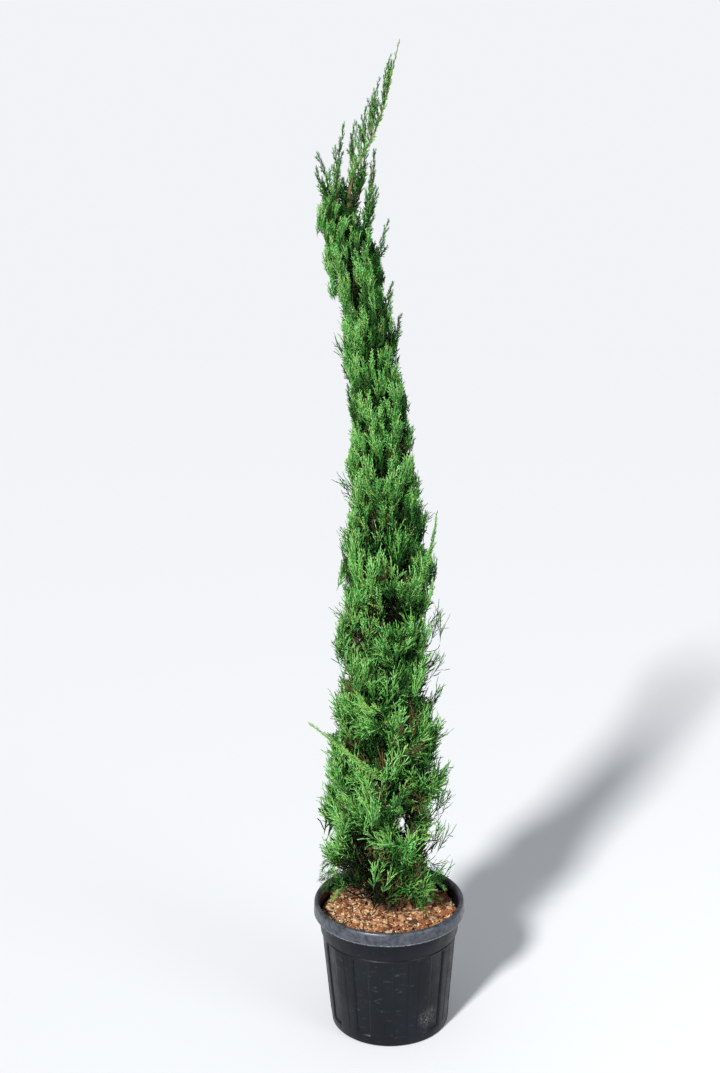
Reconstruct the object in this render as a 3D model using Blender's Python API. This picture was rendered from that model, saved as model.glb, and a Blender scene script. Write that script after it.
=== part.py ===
"""A potted spiral topiary: a slender juniper clipped into a left-handed spiral, in a round nursery pot.

Run it with: blender --background --python part.py
Lengths are metres, +Z is up, the plant's front faces -Y, and the origin is the middle of the pot's underside.
"""

import math

import bmesh
import bpy
import numpy as np
from mathutils import Matrix, Vector, noise
from mathutils.bvhtree import BVHTree

SEAT_GAP = 0.0003  # what two touching solids keep between them
MERGE_DISTANCE = 1e-5

# ---- Pot ------------------------------------------------------------------------------------------
POT_HEIGHT = 0.345
POT_SEGMENTS = 40
BASE_RADIUS = 0.154  # outside of the wall at the underside
WALL_TOP_RADIUS = 0.181  # outside of the wall just under the rim
WALL_THICKNESS = 0.0045
FLOOR_THICKNESS = 0.006
RIM_RADIUS = 0.197
RIM_DEPTH = 0.035  # how far the rolled rim hangs down
RIM_LIP_WIDTH = 0.014
LIP_DRAFT = 0.001  # how much narrower the inside is at the rim's foot than at its lip
RIM_ROUNDING = 0.004
COLLAR_DEPTH = 0.050  # plain band between the rim and the fluted wall
COLLAR_STEP = 0.0025
RIM_FOOT = POT_HEIGHT - RIM_DEPTH
COLLAR_FOOT = RIM_FOOT - COLLAR_DEPTH
FOOT_CHAMFER = 0.004
FLUTE_COUNT = 10
FLUTE_BEARING = 27  # degrees from +X to the middle of the first flute, on an edge between two segments
FLUTE_DEPTH = 0.0022
FLUTE_BORDER = 0.0035
FLUTE_FOOT = 0.022  # height at which the flutes start
DRAIN_COUNT = 10
DRAIN_RADIUS = 0.008
DRAIN_CIRCLE_RADIUS = 0.118
DRAIN_SEGMENTS = 10

# ---- Soil -----------------------------------------------------------------------------------------
SOIL_EDGE_HEIGHT = 0.306
SOIL_CROWN_HEIGHT = 0.316  # flat middle, on which the trunk stands
SOIL_CROWN_RADIUS = 0.070
SOIL_RINGS = 3
SOIL_ROUGHNESS = 0.0025
SOIL_LUMPS_PER_METRE = 40.0

# ---- Spiral ---------------------------------------------------------------------------------------
# The band passes the plant's right side (+X) at whole turns and climbs clockwise, seen from above.
TURN_ZERO_HEIGHT = 0.500
TURN_ZERO_PITCH = 0.149
PITCH_GROWTH = 0.085  # natural log of one turn's pitch over the pitch of the turn below it
FIRST_TURN = -1.30
LAST_TURN = 7.84
MASS_COUNT = 23
GROOVE_SHARE = 0.055  # share of the pitch that the groove takes at its bottom
MASS_SECTIONS = [-1.0, -0.88, -0.55, -0.18, 0.18, 0.55, 0.88, 1.0]  # places of the sections, end to end
END_GAP = 0.6 * SEAT_GAP  # each mass's share of the gap to its neighbour
END_TAPER = 0.90  # a mass's two ends against its full section, so that each end has a soft edge
SECTION_POINTS = 12
SECTION_SQUARENESS = 3.2  # 2 gives an oval section and large values a box
MASS_UNEVENNESS = 0.10  # share of the radius
LUMPS_PER_METRE = 12.0
LUMP_REACH = 0.1  # radius at which the lumps are read, so that a whole section shares one
GROOVE_WAVE = 0.006  # how far the groove wanders up and down
WAVES_PER_METRE = 4.2
LOWEST_FOLIAGE = SOIL_CROWN_HEIGHT + 2 * SEAT_GAP
HIGHEST_BAND = 2.172  # the plumes and the leader stand above this

# Height, sideways place and half width of the crown.
CROWN = [
    (0.30, -0.020, 0.146),
    (0.55, -0.022, 0.156),
    (0.78, -0.008, 0.155),
    (0.94, -0.011, 0.120),
    (1.08, 0.001, 0.110),
    (1.22, 0.006, 0.108),
    (1.45, -0.002, 0.089),
    (1.70, -0.023, 0.067),
    (1.85, -0.042, 0.060),
    (1.98, -0.070, 0.063),
    (2.08, -0.082, 0.063),
    (2.18, -0.077, 0.056),
]
# Height and radius of the bare space round the trunk, which the boughs cross.
BARE_CORE = [(0.30, 0.052), (0.90, 0.042), (1.50, 0.026), (2.18, 0.016)]
AXIS_SWAY = 0.007  # how far the trunk wanders to the front and the back as it climbs

# ---- Trunk and boughs -----------------------------------------------------------------------------
# Height, sideways place and radius. Below the leader's foot the trunk runs up the crown's own middle.
LEADER = [
    (2.197, -0.066, 0.0036),
    (2.245, -0.036, 0.0032),
    (2.312, -0.004, 0.0027),
    (2.366, 0.012, 0.0022),
    (2.414, 0.023, 0.0018),
    (2.482, 0.041, 0.0011),
]
LEADER_FOOT = 2.14
TRUNK_RADIUS = [(0.30, 0.0270), (0.34, 0.0205), (0.42, 0.0180), (1.20, 0.0115), (1.90, 0.0062), (2.14, 0.0042)]
TRUNK_STEPS = 20
FLARE_STEPS = (0, 0.012, 0.035, 0.090)  # heights over the foot at which the flare's sections lie
BOUGH_SIDES = 8
BOUGH_STEPS = 3
BOUGH_HEADROOM = 0.045  # kept by the first bough over the soil and by the last one under the band's top
BOUGH_SLOPE = 0.85  # rise over reach
BOUGH_ROOT_SHARE = 0.42  # of the trunk's radius beside it
BOUGH_TIP_SHARE = 0.62  # of the bough's own root

# ---- Upright plumes of the open top, and the long unclipped shoots --------------------------------
# Name, height and bearing at which a plume leaves the leader, its tip and its widest radius.
LEADER_PLUMES = [
    ("plume_leader_foot", 2.212, 150, (-0.063, 0.010, 2.300), 0.008),
    ("plume_leader_low", 2.250, 165, (-0.031, -0.008, 2.345), 0.009),
    ("plume_leader_middle", 2.306, 165, (-0.006, 0.006, 2.394), 0.007),
    ("plume_leader_high", 2.376, 165, (0.020, -0.002, 2.446), 0.0036),
]
PLUME_FOOT_RADIUS = 0.0020
PLUME_NECK = 0.0045  # how far a leader plume stands straight out before it bends up
PLUME_BOW = 0.08  # share of its length that a leader plume bows outward
SEAT_START = 0.03  # how far outside the leader the seating of a plume's foot begins
# Name, place of the foot on top of the band, tip and widest radius.
BAND_PLUMES = [
    ("plume_left_outer", (-0.126, 0.002), (-0.147, -0.006, 2.222), 0.014),
    ("plume_left_inner", (-0.105, 0.028), (-0.110, 0.030, 2.236), 0.012),
    ("plume_left_front", (-0.108, -0.026), (-0.090, -0.022, 2.290), 0.011),
    ("plume_back", (-0.068, 0.034), (-0.072, 0.038, 2.262), 0.012),
    ("plume_right", (-0.040, -0.016), (-0.019, -0.018, 2.230), 0.012),
]
# Name, height and bearing at which a shoot leaves the band's outside, its tip and its widest radius.
SHOOTS = [
    ("shoot_right", 1.225, -24, (0.121, -0.062, 1.388), 0.0075),
    ("shoot_left", 0.796, 205, (-0.192, -0.100, 0.870), 0.006),
]
SHOOT_FOOT_RADIUS = 0.002
SHOOT_NECK = 0.014  # how far a shoot stands straight out before it bends up
BAND_PLUME_FOOT = 0.8  # of a band plume's widest radius
BAND_PLUME_HEEL = 0.3  # height of its straight heel, again over its widest radius
PLUME_STEPS = 6
PLUME_TIP_RADIUS = 0.0012
PLUME_SWELL_START = 0.06  # where on its swelling curve a plume starts
PLUME_SWELL_POWER = 0.62  # below 1, so that it is widest below its middle
PLUME_UNEVENNESS = 0.18  # of its radius
PLUME_LUMPS = 4.0  # along its length
PLUME_WAVER = 0.06  # of its sideways lean
DISC_SPOKES = 16  # a limb's end is seated by trying this many spokes of its disc
DISC_RINGS = (0.2, 0.4, 0.6, 0.8, 1.0)  # at these shares of its radius

MATERIALS = {
    "pot_plastic": ((0.030, 0.036, 0.045), 0.55),
    "bark_mulch": ((0.270, 0.115, 0.050), 0.95),
    "bark": ((0.190, 0.115, 0.070), 0.90),
    "foliage": ((0.075, 0.230, 0.045), 0.65),
    "fresh_growth": ((0.230, 0.420, 0.080), 0.60),
}


def clear_scene():
    for obj in list(bpy.data.objects):
        bpy.data.objects.remove(obj)


def material(name):
    """The Principled material of that name, made the first time it is asked for."""
    found = bpy.data.materials.get(name)
    if found:
        return found
    colour, roughness = MATERIALS[name]
    made = bpy.data.materials.new(name)
    made.use_nodes = True
    shader = made.node_tree.nodes["Principled BSDF"]
    shader.inputs["Base Color"].default_value = (*colour, 1.0)
    shader.inputs["Roughness"].default_value = roughness
    shader.inputs["Metallic"].default_value = 0.0
    made.diffuse_color = (*colour, 1.0)
    return made


def smooth_curve(stations, at, column=1):
    """A column of the stations at that height, along a smooth curve (cubic Hermite) through them."""
    heights = [row[0] for row in stations]
    values = [row[column] for row in stations]
    slopes = list(np.gradient(values, heights))
    at = min(max(at, heights[0]), heights[-1])
    i = min(int(np.searchsorted(heights, at, side="right")) - 1, len(heights) - 2)
    span = heights[i + 1] - heights[i]
    t = (at - heights[i]) / span
    return (
        values[i] * (1 + 2 * t) * (1 - t) ** 2
        + slopes[i] * span * t * (1 - t) ** 2
        + values[i + 1] * t * t * (3 - 2 * t)
        + slopes[i + 1] * span * t * t * (t - 1)
    )


def turn_height(turn):
    """Height of the band's middle after that many turns. Each turn's pitch is the last one's times a ratio."""
    return TURN_ZERO_HEIGHT + TURN_ZERO_PITCH * (math.exp(PITCH_GROWTH * turn) - 1) / PITCH_GROWTH


def turn_pitch(turn):
    """Height that the band climbs in the turn about that place."""
    return turn_height(turn + 0.5) - turn_height(turn - 0.5)


def crown_axis(height):
    """The crown's middle, which the trunk follows up to the foot of the leader."""
    turn = math.log(1 + PITCH_GROWTH * (height - TURN_ZERO_HEIGHT) / TURN_ZERO_PITCH) / PITCH_GROWTH
    return Vector((smooth_curve(CROWN, height), AXIS_SWAY * math.sin(math.pi * turn), height))


def finish_object(name, mesh, slot, smooth_angle=None):
    """A named object of that mesh and material, linked to the scene."""
    obj = bpy.data.objects.new(name, mesh)
    bpy.context.scene.collection.objects.link(obj)
    mesh.materials.append(material(slot))
    if smooth_angle is not None:
        mesh.shade_smooth()
        mesh.set_sharp_from_angle(angle=math.radians(smooth_angle))
    return obj


def mesh_from(bm, name):
    bmesh.ops.recalc_face_normals(bm, faces=bm.faces)
    mesh = bpy.data.meshes.new(name)
    bm.to_mesh(mesh)
    bm.free()
    return mesh


def spin_profile(profile):
    """A bmesh turned round Z from (radius, height) points, of which the first and last lie on the axis."""
    bm = bmesh.new()
    ring = [bm.verts.new((radius, 0, height)) for radius, height in profile]
    edges = [bm.edges.new(pair) for pair in zip(ring, ring[1:])]
    full = 2 * math.pi
    bmesh.ops.spin(
        bm, geom=ring + edges, axis=(0, 0, 1), cent=(0, 0, 0), angle=full, steps=POT_SEGMENTS, use_merge=True
    )
    bmesh.ops.remove_doubles(bm, verts=bm.verts, dist=MERGE_DISTANCE)
    return bm


# ---- Pot and soil ---------------------------------------------------------------------------------
def wall_radius(height):
    """Outside radius of the pot's tapering wall."""
    return BASE_RADIUS + (WALL_TOP_RADIUS - BASE_RADIUS) * height / RIM_FOOT


def pot_profile():
    """The pot's section: up the outside, over the rolled rim and down the inside to the floor."""
    rounding = [
        (RIM_RADIUS - RIM_ROUNDING * (1 - math.cos(a)), POT_HEIGHT - RIM_ROUNDING * (1 - math.sin(a)))
        for a in (0, math.pi / 4, math.pi / 2)
    ]
    lip_inside = RIM_RADIUS - RIM_LIP_WIDTH
    inner_floor = wall_radius(0) - WALL_THICKNESS
    return [
        (0, 0),
        (DRAIN_CIRCLE_RADIUS - 2 * DRAIN_RADIUS, 0),
        (BASE_RADIUS - FOOT_CHAMFER, 0),
        (BASE_RADIUS, FOOT_CHAMFER),
        (wall_radius(FLUTE_FOOT), FLUTE_FOOT),
        (wall_radius(COLLAR_FOOT), COLLAR_FOOT),
        (wall_radius(COLLAR_FOOT) + COLLAR_STEP, COLLAR_FOOT + COLLAR_STEP),
        (wall_radius(RIM_FOOT) + COLLAR_STEP, RIM_FOOT),
        (RIM_RADIUS - RIM_ROUNDING / 2, RIM_FOOT),
        (RIM_RADIUS, RIM_FOOT + RIM_ROUNDING / 2),
        *rounding,
        (lip_inside + RIM_ROUNDING, POT_HEIGHT),
        (lip_inside, POT_HEIGHT - RIM_ROUNDING),
        (lip_inside - LIP_DRAFT, RIM_FOOT),
        (wall_radius(COLLAR_FOOT) - WALL_THICKNESS, COLLAR_FOOT),
        (inner_floor, FLOOR_THICKNESS),
        (0, FLOOR_THICKNESS),
    ]


def make_pot():
    bm = spin_profile(pot_profile())
    middle_of_wall = (FLUTE_FOOT + COLLAR_FOOT) / 2
    for flute in range(FLUTE_COUNT):
        bearing = 2 * math.pi * flute / FLUTE_COUNT + math.radians(FLUTE_BEARING)
        panel = []
        for face in bm.faces:
            middle = face.calc_center_median()
            on_wall = abs(middle.z - middle_of_wall) < FLUTE_FOOT / 2
            outside = middle.xy.length > wall_radius(middle.z) - WALL_THICKNESS / 2
            turned = (math.atan2(middle.y, middle.x) - bearing + math.pi) % (2 * math.pi) - math.pi
            if on_wall and outside and abs(turned) < 2 * math.pi / POT_SEGMENTS:
                panel.append(face)
        bmesh.ops.inset_region(bm, faces=panel, thickness=FLUTE_BORDER, depth=-FLUTE_DEPTH, use_even_offset=True)
    pot = finish_object("pot", mesh_from(bm, "pot"), "pot_plastic", smooth_angle=30)
    for hole in range(DRAIN_COUNT):
        bearing = 2 * math.pi * (hole + 0.5) / DRAIN_COUNT
        cutter_bm = bmesh.new()
        bmesh.ops.create_cone(
            cutter_bm,
            cap_ends=True,
            segments=DRAIN_SEGMENTS,
            radius1=DRAIN_RADIUS,
            radius2=DRAIN_RADIUS,
            depth=4 * FLOOR_THICKNESS,
            matrix=Matrix.Translation(
                (DRAIN_CIRCLE_RADIUS * math.cos(bearing), DRAIN_CIRCLE_RADIUS * math.sin(bearing), 0)
            ),
        )
        cutter = finish_object(f"drain_cutter_{hole + 1}", mesh_from(cutter_bm, "drain_cutter"), "pot_plastic")
        cutter.hide_render = True
        cutter.display_type = "WIRE"
        cut = pot.modifiers.new(f"drain_{hole + 1}", "BOOLEAN")
        cut.operation = "DIFFERENCE"
        cut.solver = "EXACT"
        cut.object = cutter


def inner_radius(height):
    """Inside radius of the pot's wall below the rim, where the soil lies."""
    heights = [FLOOR_THICKNESS, COLLAR_FOOT, RIM_FOOT]
    at_collar = wall_radius(COLLAR_FOOT) - WALL_THICKNESS
    radii = [wall_radius(0) - WALL_THICKNESS, at_collar, RIM_RADIUS - RIM_LIP_WIDTH - LIP_DRAFT]
    return float(np.interp(height, heights, radii))


def make_soil():
    """Fills the pot to just under the rim, a little higher round the trunk, with an uneven top."""
    floor = FLOOR_THICKNESS + SEAT_GAP
    gap = 2 * SEAT_GAP
    edge = inner_radius(SOIL_EDGE_HEIGHT) - gap
    profile = [
        (0, floor),
        (inner_radius(floor) - gap, floor),
        (inner_radius(COLLAR_FOOT) - gap, COLLAR_FOOT),
        (edge, SOIL_EDGE_HEIGHT),
    ]
    for ring in range(1, SOIL_RINGS):
        share = ring / SOIL_RINGS
        radius = edge + (SOIL_CROWN_RADIUS - edge) * share
        rise = 0.5 - 0.5 * math.cos(math.pi * share)
        profile.append((radius, SOIL_EDGE_HEIGHT + (SOIL_CROWN_HEIGHT - SOIL_EDGE_HEIGHT) * rise))
    profile += [(SOIL_CROWN_RADIUS, SOIL_CROWN_HEIGHT), (0, SOIL_CROWN_HEIGHT)]
    bm = spin_profile(profile)
    for vert in bm.verts:
        between = SOIL_CROWN_RADIUS + gap < vert.co.xy.length < edge - gap
        if vert.co.z > COLLAR_FOOT + gap and between:
            vert.co.z -= SOIL_ROUGHNESS * (0.5 + 0.5 * noise.noise(vert.co * SOIL_LUMPS_PER_METRE))
    finish_object("soil", mesh_from(bm, "soil"), "bark_mulch")


# ---- Trunk, masses and boughs ---------------------------------------------------------------------
def make_limb(name, points, radii, slot, sides_level=2):
    """One tapering limb with flat ends: a curve through the points, with a round section."""
    curve = bpy.data.curves.new(name, "CURVE")
    curve.dimensions = "3D"
    curve.bevel_depth = 1.0
    curve.bevel_resolution = sides_level
    curve.use_fill_caps = True
    spline = curve.splines.new("POLY")
    spline.points.add(len(points) - 1)
    for point, place, radius in zip(spline.points, points, radii):
        point.co = (*place, 1.0)
        point.radius = radius
    curve.materials.append(material(slot))
    obj = bpy.data.objects.new(name, curve)
    bpy.context.scene.collection.objects.link(obj)
    return obj


def trunk_radius(height):
    return smooth_curve(TRUNK_RADIUS, height)


def make_trunk():
    foot = SOIL_CROWN_HEIGHT + SEAT_GAP
    heights = [foot + rise for rise in FLARE_STEPS[:-1]]
    heights += list(np.linspace(foot + FLARE_STEPS[-1], LEADER_FOOT, TRUNK_STEPS))
    points = [crown_axis(height) for height in heights]
    points[0] = Vector((points[1].x, points[1].y, foot))
    radii = [trunk_radius(height) for height in heights]
    end_sway = points[-1].y
    for step, (height, sideways, radius) in enumerate(LEADER):
        points.append(Vector((sideways, end_sway * (1 - (step + 1) / len(LEADER)), height)))
        radii.append(radius)
    return make_limb("trunk", points, radii, "bark", sides_level=3)


def section_point(side):
    """A point of the band's rounded section, as (outward, upward) shares from -1 to 1."""
    angle = 2 * math.pi * side / SECTION_POINTS
    power = 2 / SECTION_SQUARENESS
    outward, upward = math.cos(angle), math.sin(angle)
    return math.copysign(abs(outward) ** power, outward), math.copysign(abs(upward) ** power, upward)


def band_point(turn, outward, upward):
    """A point of the spiral band after that many turns, lumpy towards its outside."""
    height = turn_height(turn) + upward * turn_pitch(turn) * 0.5 * (1 - GROOVE_SHARE)
    bearing = -2 * math.pi * turn
    direction = Vector((math.cos(bearing), math.sin(bearing), 0))
    place = direction * LUMP_REACH + Vector((0, 0, height))
    height += GROOVE_WAVE * noise.noise(place * WAVES_PER_METRE)
    height = min(max(height, LOWEST_FOLIAGE), HIGHEST_BAND)
    inner, outer = smooth_curve(BARE_CORE, height), smooth_curve(CROWN, height, 2)
    lump = noise.noise(place * LUMPS_PER_METRE) * max(outward, 0)
    reach = inner + (outer - inner) * (outward + 1) / 2 + outer * MASS_UNEVENNESS * lump
    return crown_axis(height) + direction * reach


def make_mass(index):
    """One length of the spiral band, with flat ends that its two neighbours meet."""
    step = (LAST_TURN - FIRST_TURN) / MASS_COUNT
    middle_turn = FIRST_TURN + (index + 0.5) * step
    bm = bmesh.new()
    rings, centres = [], []
    for along in MASS_SECTIONS:
        at_end = abs(along) == 1
        turn = middle_turn + along * step / 2
        size = END_TAPER if at_end else 1
        bearing = -2 * math.pi * turn
        tangent = Vector((math.sin(bearing), -math.cos(bearing), 0))
        drawn_back = tangent * (-along * END_GAP if at_end else 0)
        ring = []
        for side in range(SECTION_POINTS):
            outward, upward = section_point(side)
            ring.append(bm.verts.new(band_point(turn, outward * size, upward * size) + drawn_back))
        rings.append(ring)
        centres.append(band_point(turn, 0, 0) + drawn_back)
    for ring, following in zip(rings, rings[1:]):
        for side in range(SECTION_POINTS):
            other = (side + 1) % SECTION_POINTS
            bm.faces.new((ring[side], ring[other], following[other], following[side]))
    for ring, centre in ((rings[0], centres[0]), (rings[-1], centres[-1])):
        hub = bm.verts.new(centre)
        for side in range(SECTION_POINTS):
            bm.faces.new((ring[side], ring[(side + 1) % SECTION_POINTS], hub))
    name = f"foliage_{index + 1:02d}"
    return finish_object(name, mesh_from(bm, name), "foliage", smooth_angle=50), middle_turn


def surface_of(obj):
    """The object's evaluated surface in world space: a search tree and its corner points."""
    graph = bpy.context.evaluated_depsgraph_get()
    mesh = obj.evaluated_get(graph).to_mesh()
    corners = np.array([obj.matrix_world @ vert.co for vert in mesh.vertices])
    return BVHTree.FromObject(obj, graph), corners


def free_run(start, direction, radius, surfaces):
    """How far a disc, square to the direction, slides from the start before it meets one of the surfaces."""
    across = direction.orthogonal().normalized()
    places = [start]
    for spoke in range(DISC_SPOKES):
        turned = Matrix.Rotation(2 * math.pi * spoke / DISC_SPOKES, 3, direction) @ across
        places += [start + turned * radius * share for share in DISC_RINGS]
    runs = []
    for tree, corners in surfaces:
        hits = [tree.ray_cast(place, direction) for place in places]
        runs += [hit[3] for hit in hits if hit[0]]
        offset = corners - np.array(start)
        along = offset @ np.array(direction)
        aside = np.linalg.norm(offset - np.outer(along, direction), axis=1)
        runs += list(along[(aside < radius) & (along > 0)])
    return min(runs)


def seat(start, direction, radius, surfaces):
    """The place along the direction where such a disc stops just short of the surfaces."""
    return start + direction * (free_run(start, direction, radius, surfaces) - 2 * SEAT_GAP)


def make_bough(index, middle_turn, mass_surface, trunk_surface):
    """One tapering limb from the trunk up into the middle of its mass, flat-ended on both."""
    bearing = -2 * math.pi * middle_turn
    outward = Vector((math.cos(bearing), math.sin(bearing), 0))
    sideways = Vector((-outward.y, outward.x, 0))
    end_height = min(turn_height(middle_turn), HIGHEST_BAND - BOUGH_HEADROOM)
    core = smooth_curve(BARE_CORE, end_height)
    start_height = max(end_height - BOUGH_SLOPE * core, SOIL_CROWN_HEIGHT + BOUGH_HEADROOM)
    root = trunk_radius(start_height) * BOUGH_ROOT_SHARE
    tip = root * BOUGH_TIP_SHARE
    stretch = math.hypot(1, BOUGH_SLOPE)
    far = crown_axis(start_height) + outward * core
    start = seat(far, -outward, root * stretch, [trunk_surface])
    end = seat(crown_axis(end_height), outward, tip * stretch, [mass_surface])
    bm = bmesh.new()
    rings = []
    for step in range(BOUGH_STEPS + 1):
        share = step / BOUGH_STEPS
        centre = start.lerp(end, share)
        radius = root + (tip - root) * share
        ring = []
        for side in range(BOUGH_SIDES):
            angle = 2 * math.pi * side / BOUGH_SIDES
            upright = Vector((0, 0, radius * stretch * math.sin(angle)))
            ring.append(bm.verts.new(centre + sideways * radius * math.cos(angle) + upright))
        rings.append(ring)
    for low, high in zip(rings, rings[1:]):
        for side in range(BOUGH_SIDES):
            following = (side + 1) % BOUGH_SIDES
            bm.faces.new((low[side], low[following], high[following], high[side]))
    bm.faces.new(rings[0])
    bm.faces.new(rings[-1])
    name = f"bough_{index + 1:02d}"
    finish_object(name, mesh_from(bm, name), "bark", smooth_angle=40)


def plume_points(foot, tip, bow, widest, seed):
    """Centres and radii of an uneven spindle that swells from a narrow foot, then tapers to its tip."""
    points, radii = [], []
    side = (tip - foot).cross(Vector((0, 0, 1)))
    for step in range(PLUME_STEPS + 1):
        share = step / PLUME_STEPS
        swell = math.sin(math.pi * min(1, share + PLUME_SWELL_START) ** PLUME_SWELL_POWER)
        lump = noise.noise(Vector((seed + 0.5, share * PLUME_LUMPS, 0.5)))
        points.append(foot.lerp(tip, share) + bow * 4 * share * (1 - share) + side * PLUME_WAVER * lump)
        radii.append(max(PLUME_TIP_RADIUS, widest * swell * (1 + PLUME_UNEVENNESS * lump)))
    return points, radii


def compass(bearing):
    """The level direction at that bearing in degrees from +X."""
    return Vector((math.cos(math.radians(bearing)), math.sin(math.radians(bearing)), 0))


def trunk_place(height):
    """The trunk's middle at that height, on the straight run of the crown or on the leaning leader."""
    if height <= LEADER_FOOT:
        return crown_axis(height)
    foot = crown_axis(LEADER_FOOT)
    heights = [LEADER_FOOT] + [row[0] for row in LEADER]
    sideways = [foot.x] + [row[1] for row in LEADER]
    depths = [foot.y * (1 - step / len(LEADER)) for step in range(len(LEADER) + 1)]
    return Vector((np.interp(height, heights, sideways), np.interp(height, heights, depths), height))


def make_leader_plumes(trunk_surface):
    """Side shoots of the leader, bowed out from it."""
    for seed, (name, height, bearing, tip, widest) in enumerate(LEADER_PLUMES):
        outward = compass(bearing)
        foot = seat(trunk_place(height) + outward * SEAT_START, -outward, PLUME_FOOT_RADIUS, [trunk_surface])
        neck, tip = foot + outward * PLUME_NECK, Vector(tip)
        points, radii = plume_points(neck, tip, outward * PLUME_BOW * (tip - neck).length, widest, seed)
        radii[0] = PLUME_FOOT_RADIUS
        make_limb(name, [foot] + points, [PLUME_FOOT_RADIUS] + radii, "foliage")


def make_band_plumes(mass_surfaces):
    """Upright plumes that stand on the band's last turn."""
    up = Vector((0, 0, 1))
    for seed, (name, (x, y), tip, widest) in enumerate(BAND_PLUMES):
        foot = seat(Vector((x, y, tip[2])), -up, widest * BAND_PLUME_FOOT, mass_surfaces)
        points, radii = plume_points(foot, Vector(tip), Vector((0, 0, 0)), widest, seed + 10)
        radii[0] = widest * BAND_PLUME_FOOT
        points.insert(1, points[0] + up * widest * BAND_PLUME_HEEL)
        radii.insert(1, (radii[0] + radii[1]) / 2)
        make_limb(name, points, radii, "foliage")


def make_shoots(mass_surfaces):
    """Long shoots that stand free: straight out of the band's outside for a little way, then up to the tip."""
    for seed, (name, height, bearing, tip, widest) in enumerate(SHOOTS):
        outward = compass(bearing)
        foot = seat(crown_axis(height) + outward, -outward, SHOOT_FOOT_RADIUS, mass_surfaces)
        neck = foot + outward * SHOOT_NECK
        points, radii = plume_points(neck, Vector(tip), Vector((0, 0, 0)), widest, seed + 20)
        radii[0] = (radii[1] + SHOOT_FOOT_RADIUS) / 2
        make_limb(name, [foot] + points, [SHOOT_FOOT_RADIUS] + radii, "fresh_growth")


def main():
    clear_scene()
    make_pot()
    make_soil()
    trunk = make_trunk()
    bpy.context.view_layer.update()
    trunk_surface = surface_of(trunk)
    mass_surfaces = []
    for index in range(MASS_COUNT):
        mass, middle_turn = make_mass(index)
        bpy.context.view_layer.update()
        mass_surfaces.append(surface_of(mass))
        make_bough(index, middle_turn, mass_surfaces[-1], trunk_surface)
    make_leader_plumes(trunk_surface)
    make_band_plumes(mass_surfaces)
    make_shoots(mass_surfaces)


main()
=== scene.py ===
# %% [markdown]
# # A potted spiral topiary
#
# The real thing is a juniper about two metres tall, clipped into a spiral and then left to grow out again.
# It stands in a round black nursery pot that is topped up with bark mulch.
# The measured model gives the frame: a pot, a soil plug, a trunk, and a spiral of plain green masses.
# This lesson keeps every one of those places and puts the real surface there:
# moulded plastic, loose bark, ridged wood, and several thousand sprays of fine whip-like foliage.

import math

import bpy
import numpy as np
from mathutils import Matrix, Vector, noise


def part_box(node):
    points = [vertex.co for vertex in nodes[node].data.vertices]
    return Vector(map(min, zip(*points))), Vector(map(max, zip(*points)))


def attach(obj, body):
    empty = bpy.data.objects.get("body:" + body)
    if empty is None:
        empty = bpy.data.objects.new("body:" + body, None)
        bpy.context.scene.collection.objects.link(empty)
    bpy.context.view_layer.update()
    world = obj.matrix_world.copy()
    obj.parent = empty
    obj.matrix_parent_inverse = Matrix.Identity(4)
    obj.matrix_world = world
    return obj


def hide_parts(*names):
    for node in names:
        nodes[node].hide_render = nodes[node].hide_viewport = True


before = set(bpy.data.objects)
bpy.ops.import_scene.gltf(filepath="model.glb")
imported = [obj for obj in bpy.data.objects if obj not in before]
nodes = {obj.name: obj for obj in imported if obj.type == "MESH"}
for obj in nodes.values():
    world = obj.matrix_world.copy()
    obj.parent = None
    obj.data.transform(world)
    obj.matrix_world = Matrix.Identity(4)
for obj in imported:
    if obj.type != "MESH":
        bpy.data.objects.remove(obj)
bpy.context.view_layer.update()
rng = np.random.default_rng(48)

# %% [markdown]
# ## Camera, floor and light
#
# A tall thin plant is best seen from above its middle and from well back, with a moderately long lens,
# so that the pot's rim opens into an ellipse and the top still doesn't lean away.
# The floor is a plain pale disc. A pale sky gives the soft light of a studio, and a distant lamp from the
# upper left, as wide as a soft box, shapes the column: its left is fresh and bright, its right is deeper,
# and the leaf tints paint that light in as well.
# A weak lamp on the right keeps the dark pot from vanishing into its own shadow.

# %% Camera
CAMERA_PLACE = (-0.0635, -3.615, 2.2517)
CAMERA_TILT, CAMERA_ROLL = 14.444, -0.749  # degrees below level, and degrees about the line of sight
CAMERA_LENS, CAMERA_SENSOR = 50.945, 36  # millimetres, the sensor along its long side

camera = bpy.data.objects.new("camera", bpy.data.cameras.new("camera"))
camera.data.lens = CAMERA_LENS
camera.data.sensor_width = CAMERA_SENSOR
turn_down = Matrix.Rotation(math.radians(90 - CAMERA_TILT), 4, "X")
roll = Matrix.Rotation(math.radians(CAMERA_ROLL), 4, "Z")
camera.matrix_world = Matrix.Translation(CAMERA_PLACE) @ turn_down @ roll
bpy.context.scene.collection.objects.link(camera)
bpy.context.scene.camera = camera
print("camera:", [round(v, 2) for v in camera.location])

# %% Floor, sky and lamps
SKY_COLOUR = (0.95, 0.97, 1.0, 1.0)
SKY_LIGHT, SKY_SEEN = 0.36, 0.93  # what the sky gives as light, and how bright it looks behind the plant
FLOOR_COLOUR, FLOOR_RADIUS, FLOOR_ROUGHNESS = (0.791, 0.811, 0.849, 1.0), 14, 0.9
SUN_WAY, SUN_STRENGTH, SUN_WIDTH = (0.46, 0.84, -0.66), 4.4, 7  # its width is in degrees
SUN_COLOUR, FILL_COLOUR = (1.0, 0.985, 0.95), (0.95, 0.97, 1.0)
FILL_PLACE, FILL_TARGET, FILL_SIZE, FILL_WATTS = (2.6, -2.2, 1.5), (0, 0, 0.9), 1.6, 36


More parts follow.
